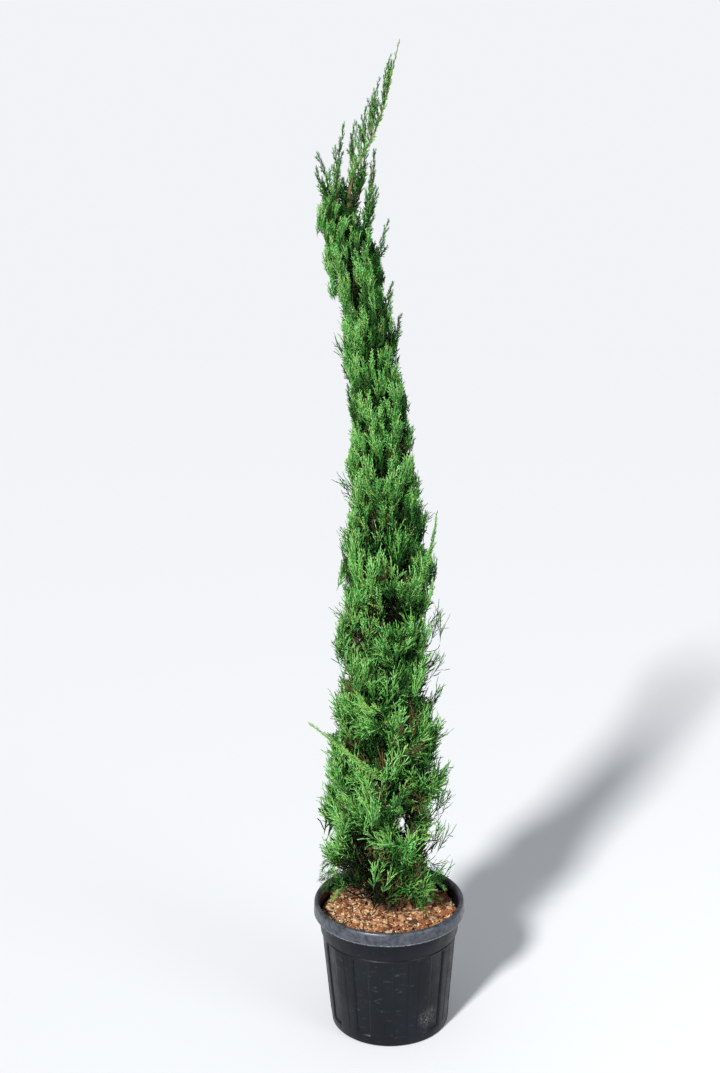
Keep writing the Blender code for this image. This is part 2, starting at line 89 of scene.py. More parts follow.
def nothing_selected():
    """Back to object mode, with nothing selected. Every operator below starts from here."""
    if bpy.context.object and bpy.context.object.mode != "OBJECT":
        bpy.ops.object.mode_set(mode="OBJECT")
    bpy.ops.object.select_all(action="DESELECT")


def lamp_facing(name, kind, way, energy, colour):
    """A lamp of that kind that shines along the way."""
    lamp = bpy.data.objects.new(name, bpy.data.lights.new(name, kind))
    lamp.data.energy, lamp.data.color = energy, colour
    lamp.rotation_euler = Vector(way).to_track_quat("-Z", "Y").to_euler()
    bpy.context.scene.collection.objects.link(lamp)
    return lamp


nothing_selected()
bpy.ops.mesh.primitive_circle_add(vertices=96, radius=FLOOR_RADIUS, fill_type="NGON")
floor = bpy.context.object
floor.name = "floor"
floor_finish = bpy.data.materials.new("pale_floor")
floor_finish.use_nodes = True
floor_shader = floor_finish.node_tree.nodes["Principled BSDF"]
floor_shader.inputs["Base Color"].default_value = FLOOR_COLOUR
floor_shader.inputs["Roughness"].default_value = FLOOR_ROUGHNESS
floor.data.materials.append(floor_finish)

world = bpy.data.worlds.new("studio")
world.use_nodes = True
sky_tree = world.node_tree
background = sky_tree.nodes["Background"]
background.inputs["Color"].default_value = SKY_COLOUR
seen = sky_tree.nodes.new("ShaderNodeLightPath")
strength = sky_tree.nodes.new("ShaderNodeMapRange")
strength.inputs["To Min"].default_value = SKY_LIGHT
strength.inputs["To Max"].default_value = SKY_SEEN
sky_tree.links.new(seen.outputs["Is Camera Ray"], strength.inputs["Value"])
sky_tree.links.new(strength.outputs["Result"], background.inputs["Strength"])
bpy.context.scene.world = world
bpy.context.scene.view_settings.view_transform = "Standard"

key = lamp_facing("key_lamp", "SUN", SUN_WAY, SUN_STRENGTH, SUN_COLOUR)
key.data.angle = math.radians(SUN_WIDTH)
fill_way = Vector(FILL_TARGET) - Vector(FILL_PLACE)
fill = lamp_facing("right_lamp", "AREA", fill_way, FILL_WATTS, FILL_COLOUR)
fill.location, fill.data.size = FILL_PLACE, FILL_SIZE
print("lamps: key and right, sky light", SKY_LIGHT)

# %% [markdown]
# ## Helpers for finishes
#
# Almost every surface here is one material broken up by natural unevenness, so one helper does most of them.
# A noise picks between a few tints, a finer noise varies the gloss, and another one raises a little relief.
# All of it is read in object coordinates, at the real scale, so it stays with the piece from any side.

# %% Finish helpers
def noise_node(tree, place, scale, detail=3.0, roughness=0.55, stretch=None):
    """Noise at that many lumps to the metre, stretched along an axis where stretch is given."""
    found = tree.nodes.new("ShaderNodeTexNoise")
    found.inputs["Scale"].default_value = scale
    found.inputs["Detail"].default_value = detail
    found.inputs["Roughness"].default_value = roughness
    if stretch is not None:
        mapping = tree.nodes.new("ShaderNodeMapping")
        mapping.inputs["Scale"].default_value = stretch
        tree.links.new(place, mapping.inputs["Vector"])
        place = mapping.outputs["Vector"]
    tree.links.new(place, found.inputs["Vector"])
    return found.outputs["Fac"]


def ramp_node(tree, factor, stops):
    """Colours or greys at their places along a factor."""
    ramp = tree.nodes.new("ShaderNodeValToRGB")
    while len(ramp.color_ramp.elements) < len(stops):
        ramp.color_ramp.elements.new(0.5)
    for element, (place, colour) in zip(ramp.color_ramp.elements, stops):
        element.position = place
        element.color = (*colour, 1.0) if len(colour) == 3 else (colour[0],) * 3 + (1.0,)
    tree.links.new(factor, ramp.inputs["Fac"])
    return ramp.outputs["Color"]


def mixed(tree, factor, first, second, kind="MIX"):
    """Two colours mixed by a factor, which is a socket or a number. A colour is a socket or three numbers."""
    mix = tree.nodes.new("ShaderNodeMix")
    mix.data_type, mix.blend_type = "RGBA", kind
    if isinstance(factor, float):
        mix.inputs["Factor"].default_value = factor
    else:
        tree.links.new(factor, mix.inputs["Factor"])
    for socket, colour in ((mix.inputs[6], first), (mix.inputs[7], second)):
        if isinstance(colour, tuple):
            socket.default_value = (*colour, 1.0)
        else:
            tree.links.new(colour, socket)
    return mix.outputs[2]


def start_finish(name, roughness, specular=0.5):
    """A material, its tree, its Principled shader and its object coordinates."""
    made = bpy.data.materials.new(name)
    made.use_nodes = True
    tree = made.node_tree
    shader = tree.nodes["Principled BSDF"]
    shader.inputs["Roughness"].default_value = roughness
    shader.inputs["Specular IOR Level"].default_value = specular
    place = tree.nodes.new("ShaderNodeTexCoord").outputs["Object"]
    return made, tree, shader, place


def add_relief(tree, shader, height, depth, strength=1.0):
    """Bump of that depth in metres from a height between 0 and 1."""
    bump = tree.nodes.new("ShaderNodeBump")
    bump.inputs["Distance"].default_value = depth
    bump.inputs["Strength"].default_value = strength
    tree.links.new(height, bump.inputs["Height"])
    tree.links.new(bump.outputs["Normal"], shader.inputs["Normal"])


GLOSS_GRAIN, GLOSS_SWING = 3.1, 0.09  # gloss patches to a tint patch, and how far their roughness goes


def uneven_finish(name, tints, per_metre, roughness, relief):
    """A matt natural finish: tints picked by noise, gloss that varies, relief of (lumps per metre, depth)."""
    made, tree, shader, place = start_finish(name, roughness)
    tint = noise_node(tree, place, per_metre)
    places = np.linspace(0.33, 0.67, len(tints))
    tree.links.new(ramp_node(tree, tint, list(zip(places, tints))), shader.inputs["Base Color"])
    gloss = noise_node(tree, place, per_metre * GLOSS_GRAIN)
    spread = [(0.3, (roughness - GLOSS_SWING,)), (0.7, (min(roughness + GLOSS_SWING, 1.0),))]
    tree.links.new(ramp_node(tree, gloss, spread), shader.inputs["Roughness"])
    lumps, depth = relief
    add_relief(tree, shader, noise_node(tree, place, lumps, detail=4), depth)
    return made


print("finish helpers ready")

# %% [markdown]
# ## Helpers for shapes
#
# A round moulding such as the pot is drawn with one circle of edges, extruded from ring to ring
# up the section. That keeps its quads clean for the insets that come later.
# The leaves start in the same way, as a triangle whose ends are gathered to points.
# Small things that repeat by the thousand, such as leaves and bark chips, are modelled once.
# Their copies are then placed with arrays and joined into one mesh, which keeps the scene light.

# %% Modelling helpers
SELECT_EDGES, SELECT_FACES = (False, True, False), (False, False, True)


def only(piece):
    """Object mode, with that piece selected and active, and nothing else."""
    nothing_selected()
    bpy.context.view_layer.objects.active = piece
    piece.select_set(True)


def close_ring(point_rise):
    """Closes the open ring that is selected: with a face, or with a point that far above it."""
    if point_rise is None:
        bpy.ops.mesh.edge_face_add()
    else:
        bpy.ops.mesh.extrude_edges_move(TRANSFORM_OT_translate={"value": (0, 0, point_rise)})
        bpy.ops.mesh.merge(type="CENTER")


def turned_by_extruding(name, rings, sides, pointed=False):
    """A circle extruded through (radius, height) rings. Its ends are faces, or points at heights 0 and 1."""
    nothing_selected()
    radius, height = rings[0]
    bpy.ops.mesh.primitive_circle_add(vertices=sides, radius=radius, location=(0, 0, height))
    piece = bpy.context.object
    piece.name = name
    bpy.ops.object.transform_apply(location=True, rotation=True, scale=True)
    bpy.context.tool_settings.mesh_select_mode = SELECT_EDGES
    bpy.ops.object.mode_set(mode="EDIT")
    bpy.ops.mesh.select_all(action="SELECT")
    for next_radius, next_height in rings[1:]:
        rise = (0, 0, next_height - height)
        bpy.ops.mesh.extrude_edges_move(TRANSFORM_OT_translate={"value": rise})
        grow = next_radius / radius
        bpy.ops.transform.resize(value=(grow, grow, 1), center_override=(0, 0, next_height))
        radius, height = next_radius, next_height
    close_ring(1 - height if pointed else None)
    bpy.ops.mesh.select_all(action="DESELECT")
    bpy.ops.object.mode_set(mode="OBJECT")
    for edge in piece.data.edges:
        edge.select = all(end < sides for end in edge.vertices)
    bpy.ops.object.mode_set(mode="EDIT")
    close_ring(-rings[0][1] if pointed else None)
    bpy.ops.mesh.select_all(action="SELECT")
    bpy.ops.mesh.normals_make_consistent(inside=False)
    bpy.ops.object.mode_set(mode="OBJECT")
    return piece


def select_faces(piece, wanted):
    """Selects the faces whose centre and normal are wanted, and goes into edit mode."""
    only(piece)
    bpy.context.tool_settings.mesh_select_mode = SELECT_FACES
    for part in (piece.data.vertices, piece.data.edges, piece.data.polygons):
        part.foreach_set("select", [False] * len(part))
    for face in piece.data.polygons:
        face.select = bool(wanted(face.center, face.normal))
    bpy.ops.object.mode_set(mode="EDIT")


def apply_modifiers(piece):
    """Turns all of a piece's modifiers into mesh."""
    only(piece)
    for modifier in list(piece.modifiers):
        bpy.ops.object.modifier_apply(modifier=modifier.name)


def smooth_by_angle(piece, degrees):
    """Smooth shading, with edges sharp where the faces turn by more than that."""
    only(piece)
    bpy.ops.object.shade_smooth_by_angle(angle=math.radians(degrees))


print("modelling helpers ready")

# %% Helpers for copies and joined meshes
def arrays_of(piece):
    """Points and triangles of a modelled piece, which is then removed."""
    piece.data.calc_loop_triangles()
    points = np.array([tuple(vertex.co) for vertex in piece.data.vertices])
    triangles = np.array([tuple(face.vertices) for face in piece.data.loop_triangles])
    bpy.data.objects.remove(piece)
    return points, triangles


def joined_piece(name, points, triangles, finish, slot, smooth=True):
    """One mesh of many copies, finished, named and riding on the plant's one body."""
    mesh = bpy.data.meshes.new(name)
    mesh.from_pydata(np.asarray(points, dtype=np.float32), [], np.asarray(triangles, dtype=np.int32))
    mesh.polygons.foreach_set("use_smooth", [smooth] * len(mesh.polygons))
    mesh.materials.append(finish)
    piece = bpy.data.objects.new(name, mesh)
    bpy.context.scene.collection.objects.link(piece)
    return settle(piece)


def settle(piece):
    """Every piece of the plant belongs to one body."""
    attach(piece, "root")
    return piece


def unit(vectors):
    """The same directions with length 1."""
    return vectors / np.maximum(np.linalg.norm(vectors, axis=-1, keepdims=True), 1e-9)


def stacked(parts):
    """Several (points, triangles) pairs as one."""
    points, triangles, first = [], [], 0
    for some_points, some_triangles in parts:
        points.append(some_points)
        triangles.append(some_triangles + first)
        first += len(some_points)
    return np.concatenate(points), np.concatenate(triangles)


def repeated(copies, triangles):
    """Moved copies of one shape's points, the first axis for the copies, as one (points, triangles) pair."""
    points_each = math.prod(copies.shape[1:-1])
    numbered = triangles[None] + (np.arange(len(copies)) * points_each)[:, None, None]
    return copies.reshape(-1, 3), numbered.reshape(-1, 3)


print("helpers for copies ready")

# %% [markdown]
# ## The pot
#
# The pot is injection moulded: a thin tapering wall, shallow upright recesses that stiffen it,
# a plain collar above them, and a deep rolled rim to carry it by. The rim's skirt hangs free of the wall.
# The recesses are pressed in with insets, as the mould does it, and every edge gets the small radius
# of a mould. The drain holes are cut with plain cylinders, because a boolean is how a hole is drilled.

# %% Pot shape
POT_HEIGHT, RIM_FOOT, COLLAR_FOOT, FLUTE_FOOT = 0.345, 0.310, 0.260, 0.022
BASE_RADIUS, WALL_TOP_RADIUS, RIM_RADIUS = 0.154, 0.181, 0.197
WALL, FLOOR_PLATE, SKIRT = 0.0045, 0.006, 0.0032
COLLAR_STEP, COLLAR_GROOVE = 0.0032, 0.0026
PANEL_TOP = COLLAR_FOOT - 0.0065  # the recesses stop below the groove under the collar
POT_SIDES = 180
FLUTES, FLUTE_BEARING, FLUTE_HALF_ANGLE, FLUTE_DEPTH = 10, 27, 9.0, 0.0044
FLUTE_STEPS = ((0.0035, 0.20), (0.0035, 0.65), (0.0030, 0.15))  # width, and share of the depth
LIP_RAGGED, LIP_LUMPS = 0.0011, 130  # the mould left a slightly ragged lip under the rim
MOULD_RADIUS, MOULD_ANGLE, POT_SMOOTH_ANGLE = 0.0011, 24, 32  # angles in degrees
DRAINS, DRAIN_RADIUS, DRAIN_CIRCLE = 10, 0.008, 0.118


def wall_radius(height):
    """The wall's outer radius at that height, without collar or rim."""
    return BASE_RADIUS + (WALL_TOP_RADIUS - BASE_RADIUS) * height / RIM_FOOT


def bearing_of(place):
    """Degrees round the pot, from +X towards +Y."""
    return math.degrees(math.atan2(place[1], place[0]))


pot_rings = [
    (0.020, 0.0022), (0.132, 0.0022), (0.136, 0.0), (BASE_RADIUS - 0.004, 0.0), (BASE_RADIUS, 0.004),
    (wall_radius(FLUTE_FOOT), FLUTE_FOOT), (wall_radius(PANEL_TOP), PANEL_TOP),
    (wall_radius(COLLAR_FOOT) - COLLAR_GROOVE, COLLAR_FOOT - 0.0030),
    (wall_radius(COLLAR_FOOT) - COLLAR_GROOVE, COLLAR_FOOT),
    (wall_radius(COLLAR_FOOT) + COLLAR_STEP, COLLAR_FOOT + 0.0016),
    (wall_radius(RIM_FOOT) + COLLAR_STEP, RIM_FOOT), (wall_radius(RIM_FOOT) + 0.003, 0.334),
    (RIM_RADIUS - 0.0055, 0.336), (RIM_RADIUS - SKIRT, 0.330), (RIM_RADIUS - SKIRT, RIM_FOOT + 0.0005),
    (RIM_RADIUS - 0.001, RIM_FOOT), (RIM_RADIUS, RIM_FOOT + 0.0015), (RIM_RADIUS, RIM_FOOT + 0.0038),
    (RIM_RADIUS - 0.0008, 0.325),
    (RIM_RADIUS - 0.0012, 0.3385), (RIM_RADIUS - 0.0035, 0.3432), (RIM_RADIUS - 0.0070, POT_HEIGHT),
    (RIM_RADIUS - 0.0105, 0.3442), (RIM_RADIUS - 0.0132, 0.3405), (RIM_RADIUS - 0.0145, 0.330),
    (wall_radius(COLLAR_FOOT) + COLLAR_STEP - WALL, COLLAR_FOOT + 0.004),
    (wall_radius(COLLAR_FOOT) - WALL, COLLAR_FOOT), (BASE_RADIUS - WALL, FLOOR_PLATE), (0.020, FLOOR_PLATE),
]
pot = turned_by_extruding("pot_shell", pot_rings, POT_SIDES)
for flute in range(FLUTES):
    centre = 360 * flute / FLUTES + FLUTE_BEARING

    def on_panel(place, normal):
        across = (bearing_of(place) - centre + 180) % 360 - 180
        on_wall = FLUTE_FOOT < place.z < PANEL_TOP and place.xy.length > wall_radius(place.z) - WALL / 2
        return on_wall and abs(across) < FLUTE_HALF_ANGLE

    select_faces(pot, on_panel)
    for width, depth_share in FLUTE_STEPS:
        bpy.ops.mesh.inset(thickness=width, depth=-FLUTE_DEPTH * depth_share, use_even_offset=True)
nothing_selected()
for vertex in pot.data.vertices:
    if abs(vertex.co.z - RIM_FOOT) < 0.002 and vertex.co.xy.length > RIM_RADIUS - SKIRT - 0.001:
        vertex.co.z += LIP_RAGGED * noise.noise(vertex.co * LIP_LUMPS)
print("pot:", len(pot.data.polygons), "faces,", FLUTES, "recesses")

# %% Pot edges and drain holes
rounding = pot.modifiers.new("mould_radius", "BEVEL")
rounding.width, rounding.segments, rounding.limit_method = MOULD_RADIUS, 2, "ANGLE"
rounding.angle_limit = math.radians(MOULD_ANGLE)
apply_modifiers(pot)
for drain in range(DRAINS):
    bearing = 2 * math.pi * (drain + 0.5) / DRAINS
    place = (DRAIN_CIRCLE * math.cos(bearing), DRAIN_CIRCLE * math.sin(bearing), FLOOR_PLATE / 2)
    nothing_selected()
    deep = 5 * FLOOR_PLATE
    bpy.ops.mesh.primitive_cylinder_add(vertices=24, radius=DRAIN_RADIUS, depth=deep, location=place)
    drill = bpy.context.object
    cut = pot.modifiers.new("drain", "BOOLEAN")
    cut.operation, cut.solver, cut.object = "DIFFERENCE", "EXACT", drill
    apply_modifiers(pot)
    bpy.data.objects.remove(drill)
smooth_by_angle(pot, POT_SMOOTH_ANGLE)
settle(pot)
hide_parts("pot")
print("pot drilled:", len(pot.data.polygons), "faces")

# %% [markdown]
# ## Pot plastic
#
# Recycled black polypropylene looks slate grey where light grazes it, and it is never clean.
# Handling leaves pale scuffs, water leaves a lime bloom low on one side,
# and the rim is rubbed greyer than the wall. The rim has its own slightly paler finish, partly for that
# rubbing and partly as painted light because it faces up, and the lip at its foot, where hands take hold, is
# worn paler still.

# %% Pot finish
LIME_PLACE = (0.098, -0.128, 0.070)  # where hard water dried, low on the wall
LIME_FULL, LIME_GONE, LIME_GRAIN = 0.004, 0.036, 210  # metres from there, and crumbs of lime to the metre
LIME_COLOUR, SCUFF_COLOUR = (0.30, 0.29, 0.28), (0.085, 0.092, 0.105)
SCUFFS_PER_METRE, GLOSS_PER_METRE = 34, 22
WAVES_PER_METRE, GRAIN_PER_METRE = 11, 260
WAVE_SHARE, WAVE_DEPTH = 0.97, 0.0070  # the wall is slightly wavy, and its own grain is far finer


def pot_finish(name, tints, patches_per_metre, roughness, specular, scuff_share):
    """Moulded plastic in two tints, with upright scuffs, the lime bloom, uneven gloss and a wavy wall."""
    made, tree, shader, place = start_finish(name, roughness, specular)
    patches = noise_node(tree, place, patches_per_metre, detail=5)
    body = ramp_node(tree, patches, [(0.35, tints[0]), (0.66, tints[1])])
    scuffs = noise_node(tree, place, SCUFFS_PER_METRE, detail=8, roughness=0.72, stretch=(1, 1, 2.6))
    scuffs = ramp_node(tree, scuffs, [(0.60 - scuff_share, (0.0,)), (0.74 - scuff_share, (0.55,))])
    body = mixed(tree, scuffs, body, SCUFF_COLOUR)
    away = tree.nodes.new("ShaderNodeVectorMath")
    away.operation = "DISTANCE"
    away.inputs[1].default_value = LIME_PLACE
    tree.links.new(place, away.inputs[0])
    near = ramp_node(tree, away.outputs["Value"], [(LIME_FULL, (1.0,)), (LIME_GONE, (0.0,))])
    crumbs = noise_node(tree, place, LIME_GRAIN, detail=5, roughness=0.68)
    crumbs = ramp_node(tree, crumbs, [(0.47, (0.0,)), (0.64, (0.62,))])
    body = mixed(tree, mixed(tree, near, (0.0, 0.0, 0.0), crumbs), body, LIME_COLOUR)
    tree.links.new(body, shader.inputs["Base Color"])
    gloss = noise_node(tree, place, GLOSS_PER_METRE, detail=6, roughness=0.65)
    spread = [(0.3, (roughness - 0.12,)), (0.7, (roughness + 0.14,))]
    tree.links.new(ramp_node(tree, gloss, spread), shader.inputs["Roughness"])
    both = tree.nodes.new("ShaderNodeMix")
    both.inputs["Factor"].default_value = WAVE_SHARE
    tree.links.new(noise_node(tree, place, GRAIN_PER_METRE, detail=3), both.inputs["A"])
    waves = noise_node(tree, place, WAVES_PER_METRE, detail=2, stretch=(1, 1, 0.6))
    tree.links.new(waves, both.inputs["B"])
    add_relief(tree, shader, both.outputs["Result"], WAVE_DEPTH, 0.5)
    return made


WALL_TINTS = ((0.0025, 0.0035, 0.0056), (0.0054, 0.0075, 0.0113))
# The rim's paler tints stand partly for rubbing and partly for painted light, as if the rim caught more light
# than the wall because it faces up.
RIM_RUBBED_AND_LIT_TINTS = ((0.016, 0.020, 0.029), (0.062, 0.072, 0.093))
LIP_TINTS = ((0.030, 0.034, 0.042), (0.200, 0.208, 0.222))
POT_FINISHES = [
    pot_finish("black_polypropylene", WALL_TINTS, 9, 0.38, 0.19, 0.01),
    pot_finish("rubbed_and_lit_rim", RIM_RUBBED_AND_LIT_TINTS, 75, 0.34, 0.44, 0.09),
    pot_finish("worn_lip", LIP_TINTS, 190, 0.42, 0.45, 0.12),
]
for finish in POT_FINISHES:
    pot.data.materials.append(finish)
RIM_STARTS = 0.1825  # the rim's finish starts outside this radius
for face in pot.data.polygons:
    on_rim = face.center.z > RIM_FOOT - 0.002 and face.center.xy.length > RIM_STARTS
    on_lip = on_rim and RIM_RADIUS - SKIRT < face.center.xy.length and face.center.z < RIM_FOOT + 0.0036
    face.material_index = 2 if on_lip else 1 if on_rim else 0
print("pot finish: wall, rubbed rim and worn lip")

# %% [markdown]
# ## Soil and bark mulch
#
# The potting mix stands about four centimetres below the rim and rises a little round the trunk.
# On top lies loose composted bark: flat angular flakes, from crumbs to thumb-sized, with pale grit worked in.
# The bed itself is a dark uneven plug. The flakes are one chip shape, modelled once with a broad middle
# and thin ends, then scattered by arrays in four tints, each one tipped and lying among its neighbours.

# %% Soil bed
SOIL_EDGE, SOIL_CROWN, CROWN_RADIUS = 0.3045, 0.3155, 0.070
BED_RADIUS, BED_SIDES, BED_RINGS = 0.1770, 96, 17
BED_GAP = 0.0004  # between the bed and the pot's floor
CLODS, CRUMBS = (0.0028, 55), (0.0016, 160)  # depth in metres, and lumps to the metre


def bed_height(reach):
    """Height of the soil at that distance from the middle."""
    share = np.clip((BED_RADIUS - reach) / (BED_RADIUS - CROWN_RADIUS), 0, 1)
    return SOIL_EDGE + (SOIL_CROWN - SOIL_EDGE) * (0.5 - 0.5 * np.cos(math.pi * share))


bed_rings = [(0.020, FLOOR_PLATE + BED_GAP), (BASE_RADIUS - WALL - 2 * BED_GAP, FLOOR_PLATE + BED_GAP)]
bed_rings += [(wall_radius(COLLAR_FOOT) - WALL - 0.001, COLLAR_FOOT - 0.002)]
for step in np.linspace(1, 0, BED_RINGS + 1)[:-1]:
    bed_rings.append((float(BED_RADIUS * step), float(bed_height(BED_RADIUS * step))))
bed = turned_by_extruding("soil_bed", bed_rings, BED_SIDES)
for vertex in bed.data.vertices:
    if vertex.co.z > SOIL_EDGE - 0.001 and vertex.co.xy.length < BED_RADIUS - 0.002:
        lumps = sum(depth * noise.noise(vertex.co * per_metre) for depth, per_metre in (CLODS, CRUMBS))
        vertex.co.z += lumps - 0.0012
smooth_by_angle(bed, 50)
MIX_TINTS = [(0.018, 0.010, 0.006), (0.050, 0.026, 0.014), (0.105, 0.052, 0.026)]
potting_mix = uneven_finish("potting_mix", MIX_TINTS, 130, 0.92, (240, 0.0012))
bed.data.materials.append(potting_mix)
settle(bed)
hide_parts("soil")
print("soil bed:", len(bed.data.polygons), "faces")

# %% One bark chip and one grain of grit
nothing_selected()
bpy.ops.mesh.primitive_cube_add(size=1)
chip = bpy.context.object
bpy.ops.object.mode_set(mode="EDIT")
bpy.ops.mesh.bisect(plane_co=(0.08, 0, 0), plane_no=(1, 0.25, 0))
bpy.ops.object.mode_set(mode="OBJECT")
for vertex in chip.data.vertices:
    in_middle = abs(vertex.co.x) < 0.3
    vertex.co.y *= 1.15 if in_middle else 0.62
    vertex.co.z *= 1.25 if in_middle else 0.60
chip_points, chip_triangles = arrays_of(chip)

nothing_selected()
bpy.ops.mesh.primitive_ico_sphere_add(subdivisions=1, radius=0.5)
grain = bpy.context.object
bpy.ops.object.mode_set(mode="EDIT")
bpy.ops.transform.resize(value=(1.15, 0.9, 0.75), center_override=(0, 0, 0))
bpy.ops.object.mode_set(mode="OBJECT")
grain_points, grain_triangles = arrays_of(grain)
print("chip:", len(chip_triangles), "triangles, grain:", len(grain_triangles))

# %% Helpers that scatter the mulch
def turned_frames(directions, rolls):
    """For each direction, three axes in columns: two square to it and turned by the roll, and itself."""
    upright = np.abs(directions[:, 2:]) > 0.9
    helper = np.where(upright, np.array([[1.0, 0, 0]]), np.array([[0, 0, 1.0]]))
    across = unit(np.cross(helper, directions))
    other = np.cross(directions, across)
    cosine, sine = np.cos(rolls)[:, None], np.sin(rolls)[:, None]
    first = across * cosine + other * sine
    return np.stack([first, np.cross(directions, first), directions], axis=2)


def scattered(shape, places, directions, rolls, sizes, wobble):
    """Copies of a shape at those places, each scaled along its own axes and made a little irregular."""
    points, triangles = shape
    frames = turned_frames(unit(directions), rolls)
    local = points[None] * sizes[:, None, :]
    local = local * (1 + wobble * rng.uniform(-1, 1, local.shape))
    moved = np.einsum("nij,nvj->nvi", frames, local) + places[:, None]
    return repeated(moved, triangles)


print("scattering helpers ready")

# %% Bark chips in four tints
CHIP_TINTS = {
    "red_bark": ([(0.150, 0.046, 0.018), (0.290, 0.098, 0.038), (0.420, 0.165, 0.066)], 0.36),
    "tan_bark": ([(0.300, 0.140, 0.062), (0.480, 0.255, 0.120), (0.620, 0.370, 0.190)], 0.30),
    "dark_bark": ([(0.036, 0.014, 0.007), (0.090, 0.036, 0.017), (0.155, 0.065, 0.030)], 0.20),
    "straw_bark": ([(0.480, 0.300, 0.145), (0.680, 0.470, 0.260), (0.780, 0.580, 0.370)], 0.14),
}
CHIPS, CHIP_REACH, CHIP_EDGE, CHIP_TILT, CHIP_WOBBLE = 3600, 0.1745, 0.1765, 0.38, 0.22
CHIP_LENGTH, CHIP_LENGTH_SPREAD, CHIP_SHORTEST, CHIP_LONGEST = 0.0105, 0.45, 0.004, 0.027
CHIP_WIDTHS, CHIP_THICKNESSES, CHIP_HEIGHTS = (0.3, 0.62), (0.10, 0.26), (-0.0015, 0.0052)
for tint_name, (tints, share) in CHIP_TINTS.items():
    count = int(CHIPS * share)
    reach = CHIP_REACH * np.sqrt(rng.uniform(0.02, 1, count))
    around = rng.uniform(0, 2 * math.pi, count)
    long_side = rng.lognormal(math.log(CHIP_LENGTH), CHIP_LENGTH_SPREAD, count)
    long_side = np.clip(long_side, CHIP_SHORTEST, CHIP_LONGEST)
    width = long_side * rng.uniform(*CHIP_WIDTHS, count)
    thickness = long_side * rng.uniform(*CHIP_THICKNESSES, count)
    reach = np.minimum(reach, CHIP_EDGE - long_side * 0.5)
    height = bed_height(reach) + rng.uniform(*CHIP_HEIGHTS, count)
    places = np.stack([reach * np.cos(around), reach * np.sin(around), height], 1)
    upright = np.stack([rng.normal(0, CHIP_TILT, count), rng.normal(0, CHIP_TILT, count), np.ones(count)], 1)
    rolls, sizes = rng.uniform(0, 2 * math.pi, count), np.stack([long_side, width, thickness], 1)
    points, triangles = scattered((chip_points, chip_triangles), places, upright, rolls, sizes, CHIP_WOBBLE)
    finish = uneven_finish(tint_name, tints, 300, 0.86, (900, 0.0006))
    joined_piece("mulch_" + tint_name, points, triangles, finish, "bark_mulch", smooth=False)
print("bark chips:", CHIPS)

# %% Grit
GRAINS, GRAIN_REACH, GRAIN_WOBBLE = 330, 0.170, 0.12
GRAIN_SIZE, GRAIN_SIZE_SPREAD, GRAIN_SMALLEST, GRAIN_LARGEST = 0.0042, 0.35, 0.0022, 0.0085
GRIT_TINTS = [(0.58, 0.44, 0.25), (0.80, 0.68, 0.46), (0.88, 0.81, 0.64)]
reach = GRAIN_REACH * np.sqrt(rng.uniform(0.05, 1, GRAINS))
around = rng.uniform(0, 2 * math.pi, GRAINS)
size = np.clip(rng.lognormal(math.log(GRAIN_SIZE), GRAIN_SIZE_SPREAD, GRAINS), GRAIN_SMALLEST, GRAIN_LARGEST)
height = bed_height(reach) + 0.003 + 0.25 * size
places = np.stack([reach * np.cos(around), reach * np.sin(around), height], 1)
ways, rolls = rng.normal(0, 1, (GRAINS, 3)), rng.uniform(0, 6, GRAINS)
sizes = np.repeat(size[:, None], 3, 1)
points, triangles = scattered((grain_points, grain_triangles), places, ways, rolls, sizes, GRAIN_WOBBLE)
pale_grit = uneven_finish("pale_grit", GRIT_TINTS, 260, 0.8, (700, 0.0004))
joined_piece("mulch_grit", points, triangles, pale_grit, "bark_mulch", smooth=False)
print("grains of grit:", GRAINS)

# %% [markdown]
# ## The trunk
#
# A juniper's trunk tapers steadily, wanders a little and flares where it enters the soil.
# Its bark is stringy: it splits lengthwise into long soft ridges that peel.
# The trunk is drawn as one circle extruded up along the measured centre line, so that its lean stays exact.
# It is then divided finely and every point is moved by a ridged noise that is stretched along the stem.

# %% Read the trunk's own line
def corners_of(name):
    """The triangles of a node, as (count, 3, 3)."""
    mesh = nodes[name].data
    points = np.array([tuple(vertex.co) for vertex in mesh.vertices])
    mesh.calc_loop_triangles()
    return points[np.array([tuple(face.vertices) for face in mesh.loop_triangles])]


def slice_of(corners, height):
    """Middle and radius of a limb where a level plane cuts it."""
    cuts = []
    for first, second in ((0, 1), (1, 2), (2, 0)):
        low, high = corners[:, first], corners[:, second]
        crosses = (low[:, 2] - height) * (high[:, 2] - height) < 0
        low, high = low[crosses], high[crosses]
        share = (height - low[:, 2]) / (high[:, 2] - low[:, 2])
        cuts.append(low + (high - low) * share[:, None])
    cuts = np.concatenate(cuts)
    lowest, highest = cuts.min(0), cuts.max(0)
    size = (highest - lowest)[:2] / 2
    return (lowest + highest) / 2, float(size.mean())


trunk_corners = corners_of("trunk")
trunk_foot, trunk_top = trunk_corners[:, :, 2].min(), trunk_corners[:, :, 2].max()
FLARE_HEIGHTS = np.array([0.0005, 0.008, 0.020, 0.040])  # above the trunk's foot, close together on the flare
stem_heights = np.linspace(trunk_foot + 0.07, trunk_top - 0.0006, 58)
line_heights = np.concatenate([trunk_foot + FLARE_HEIGHTS, stem_heights])
trunk_cuts = [slice_of(trunk_corners, height) for height in line_heights]
trunk_line = np.array([cut[0] for cut in trunk_cuts])
trunk_radii = np.array([cut[1] for cut in trunk_cuts])


def trunk_at(heights):
    """The trunk's middle at those heights, as (count, 3)."""
    heights = np.atleast_1d(heights)
    x = np.interp(heights, trunk_line[:, 2], trunk_line[:, 0])
    y = np.interp(heights, trunk_line[:, 2], trunk_line[:, 1])
    return np.stack([x, y, heights], 1)


print("trunk: from", round(float(trunk_foot), 3), "to", round(float(trunk_top), 3))

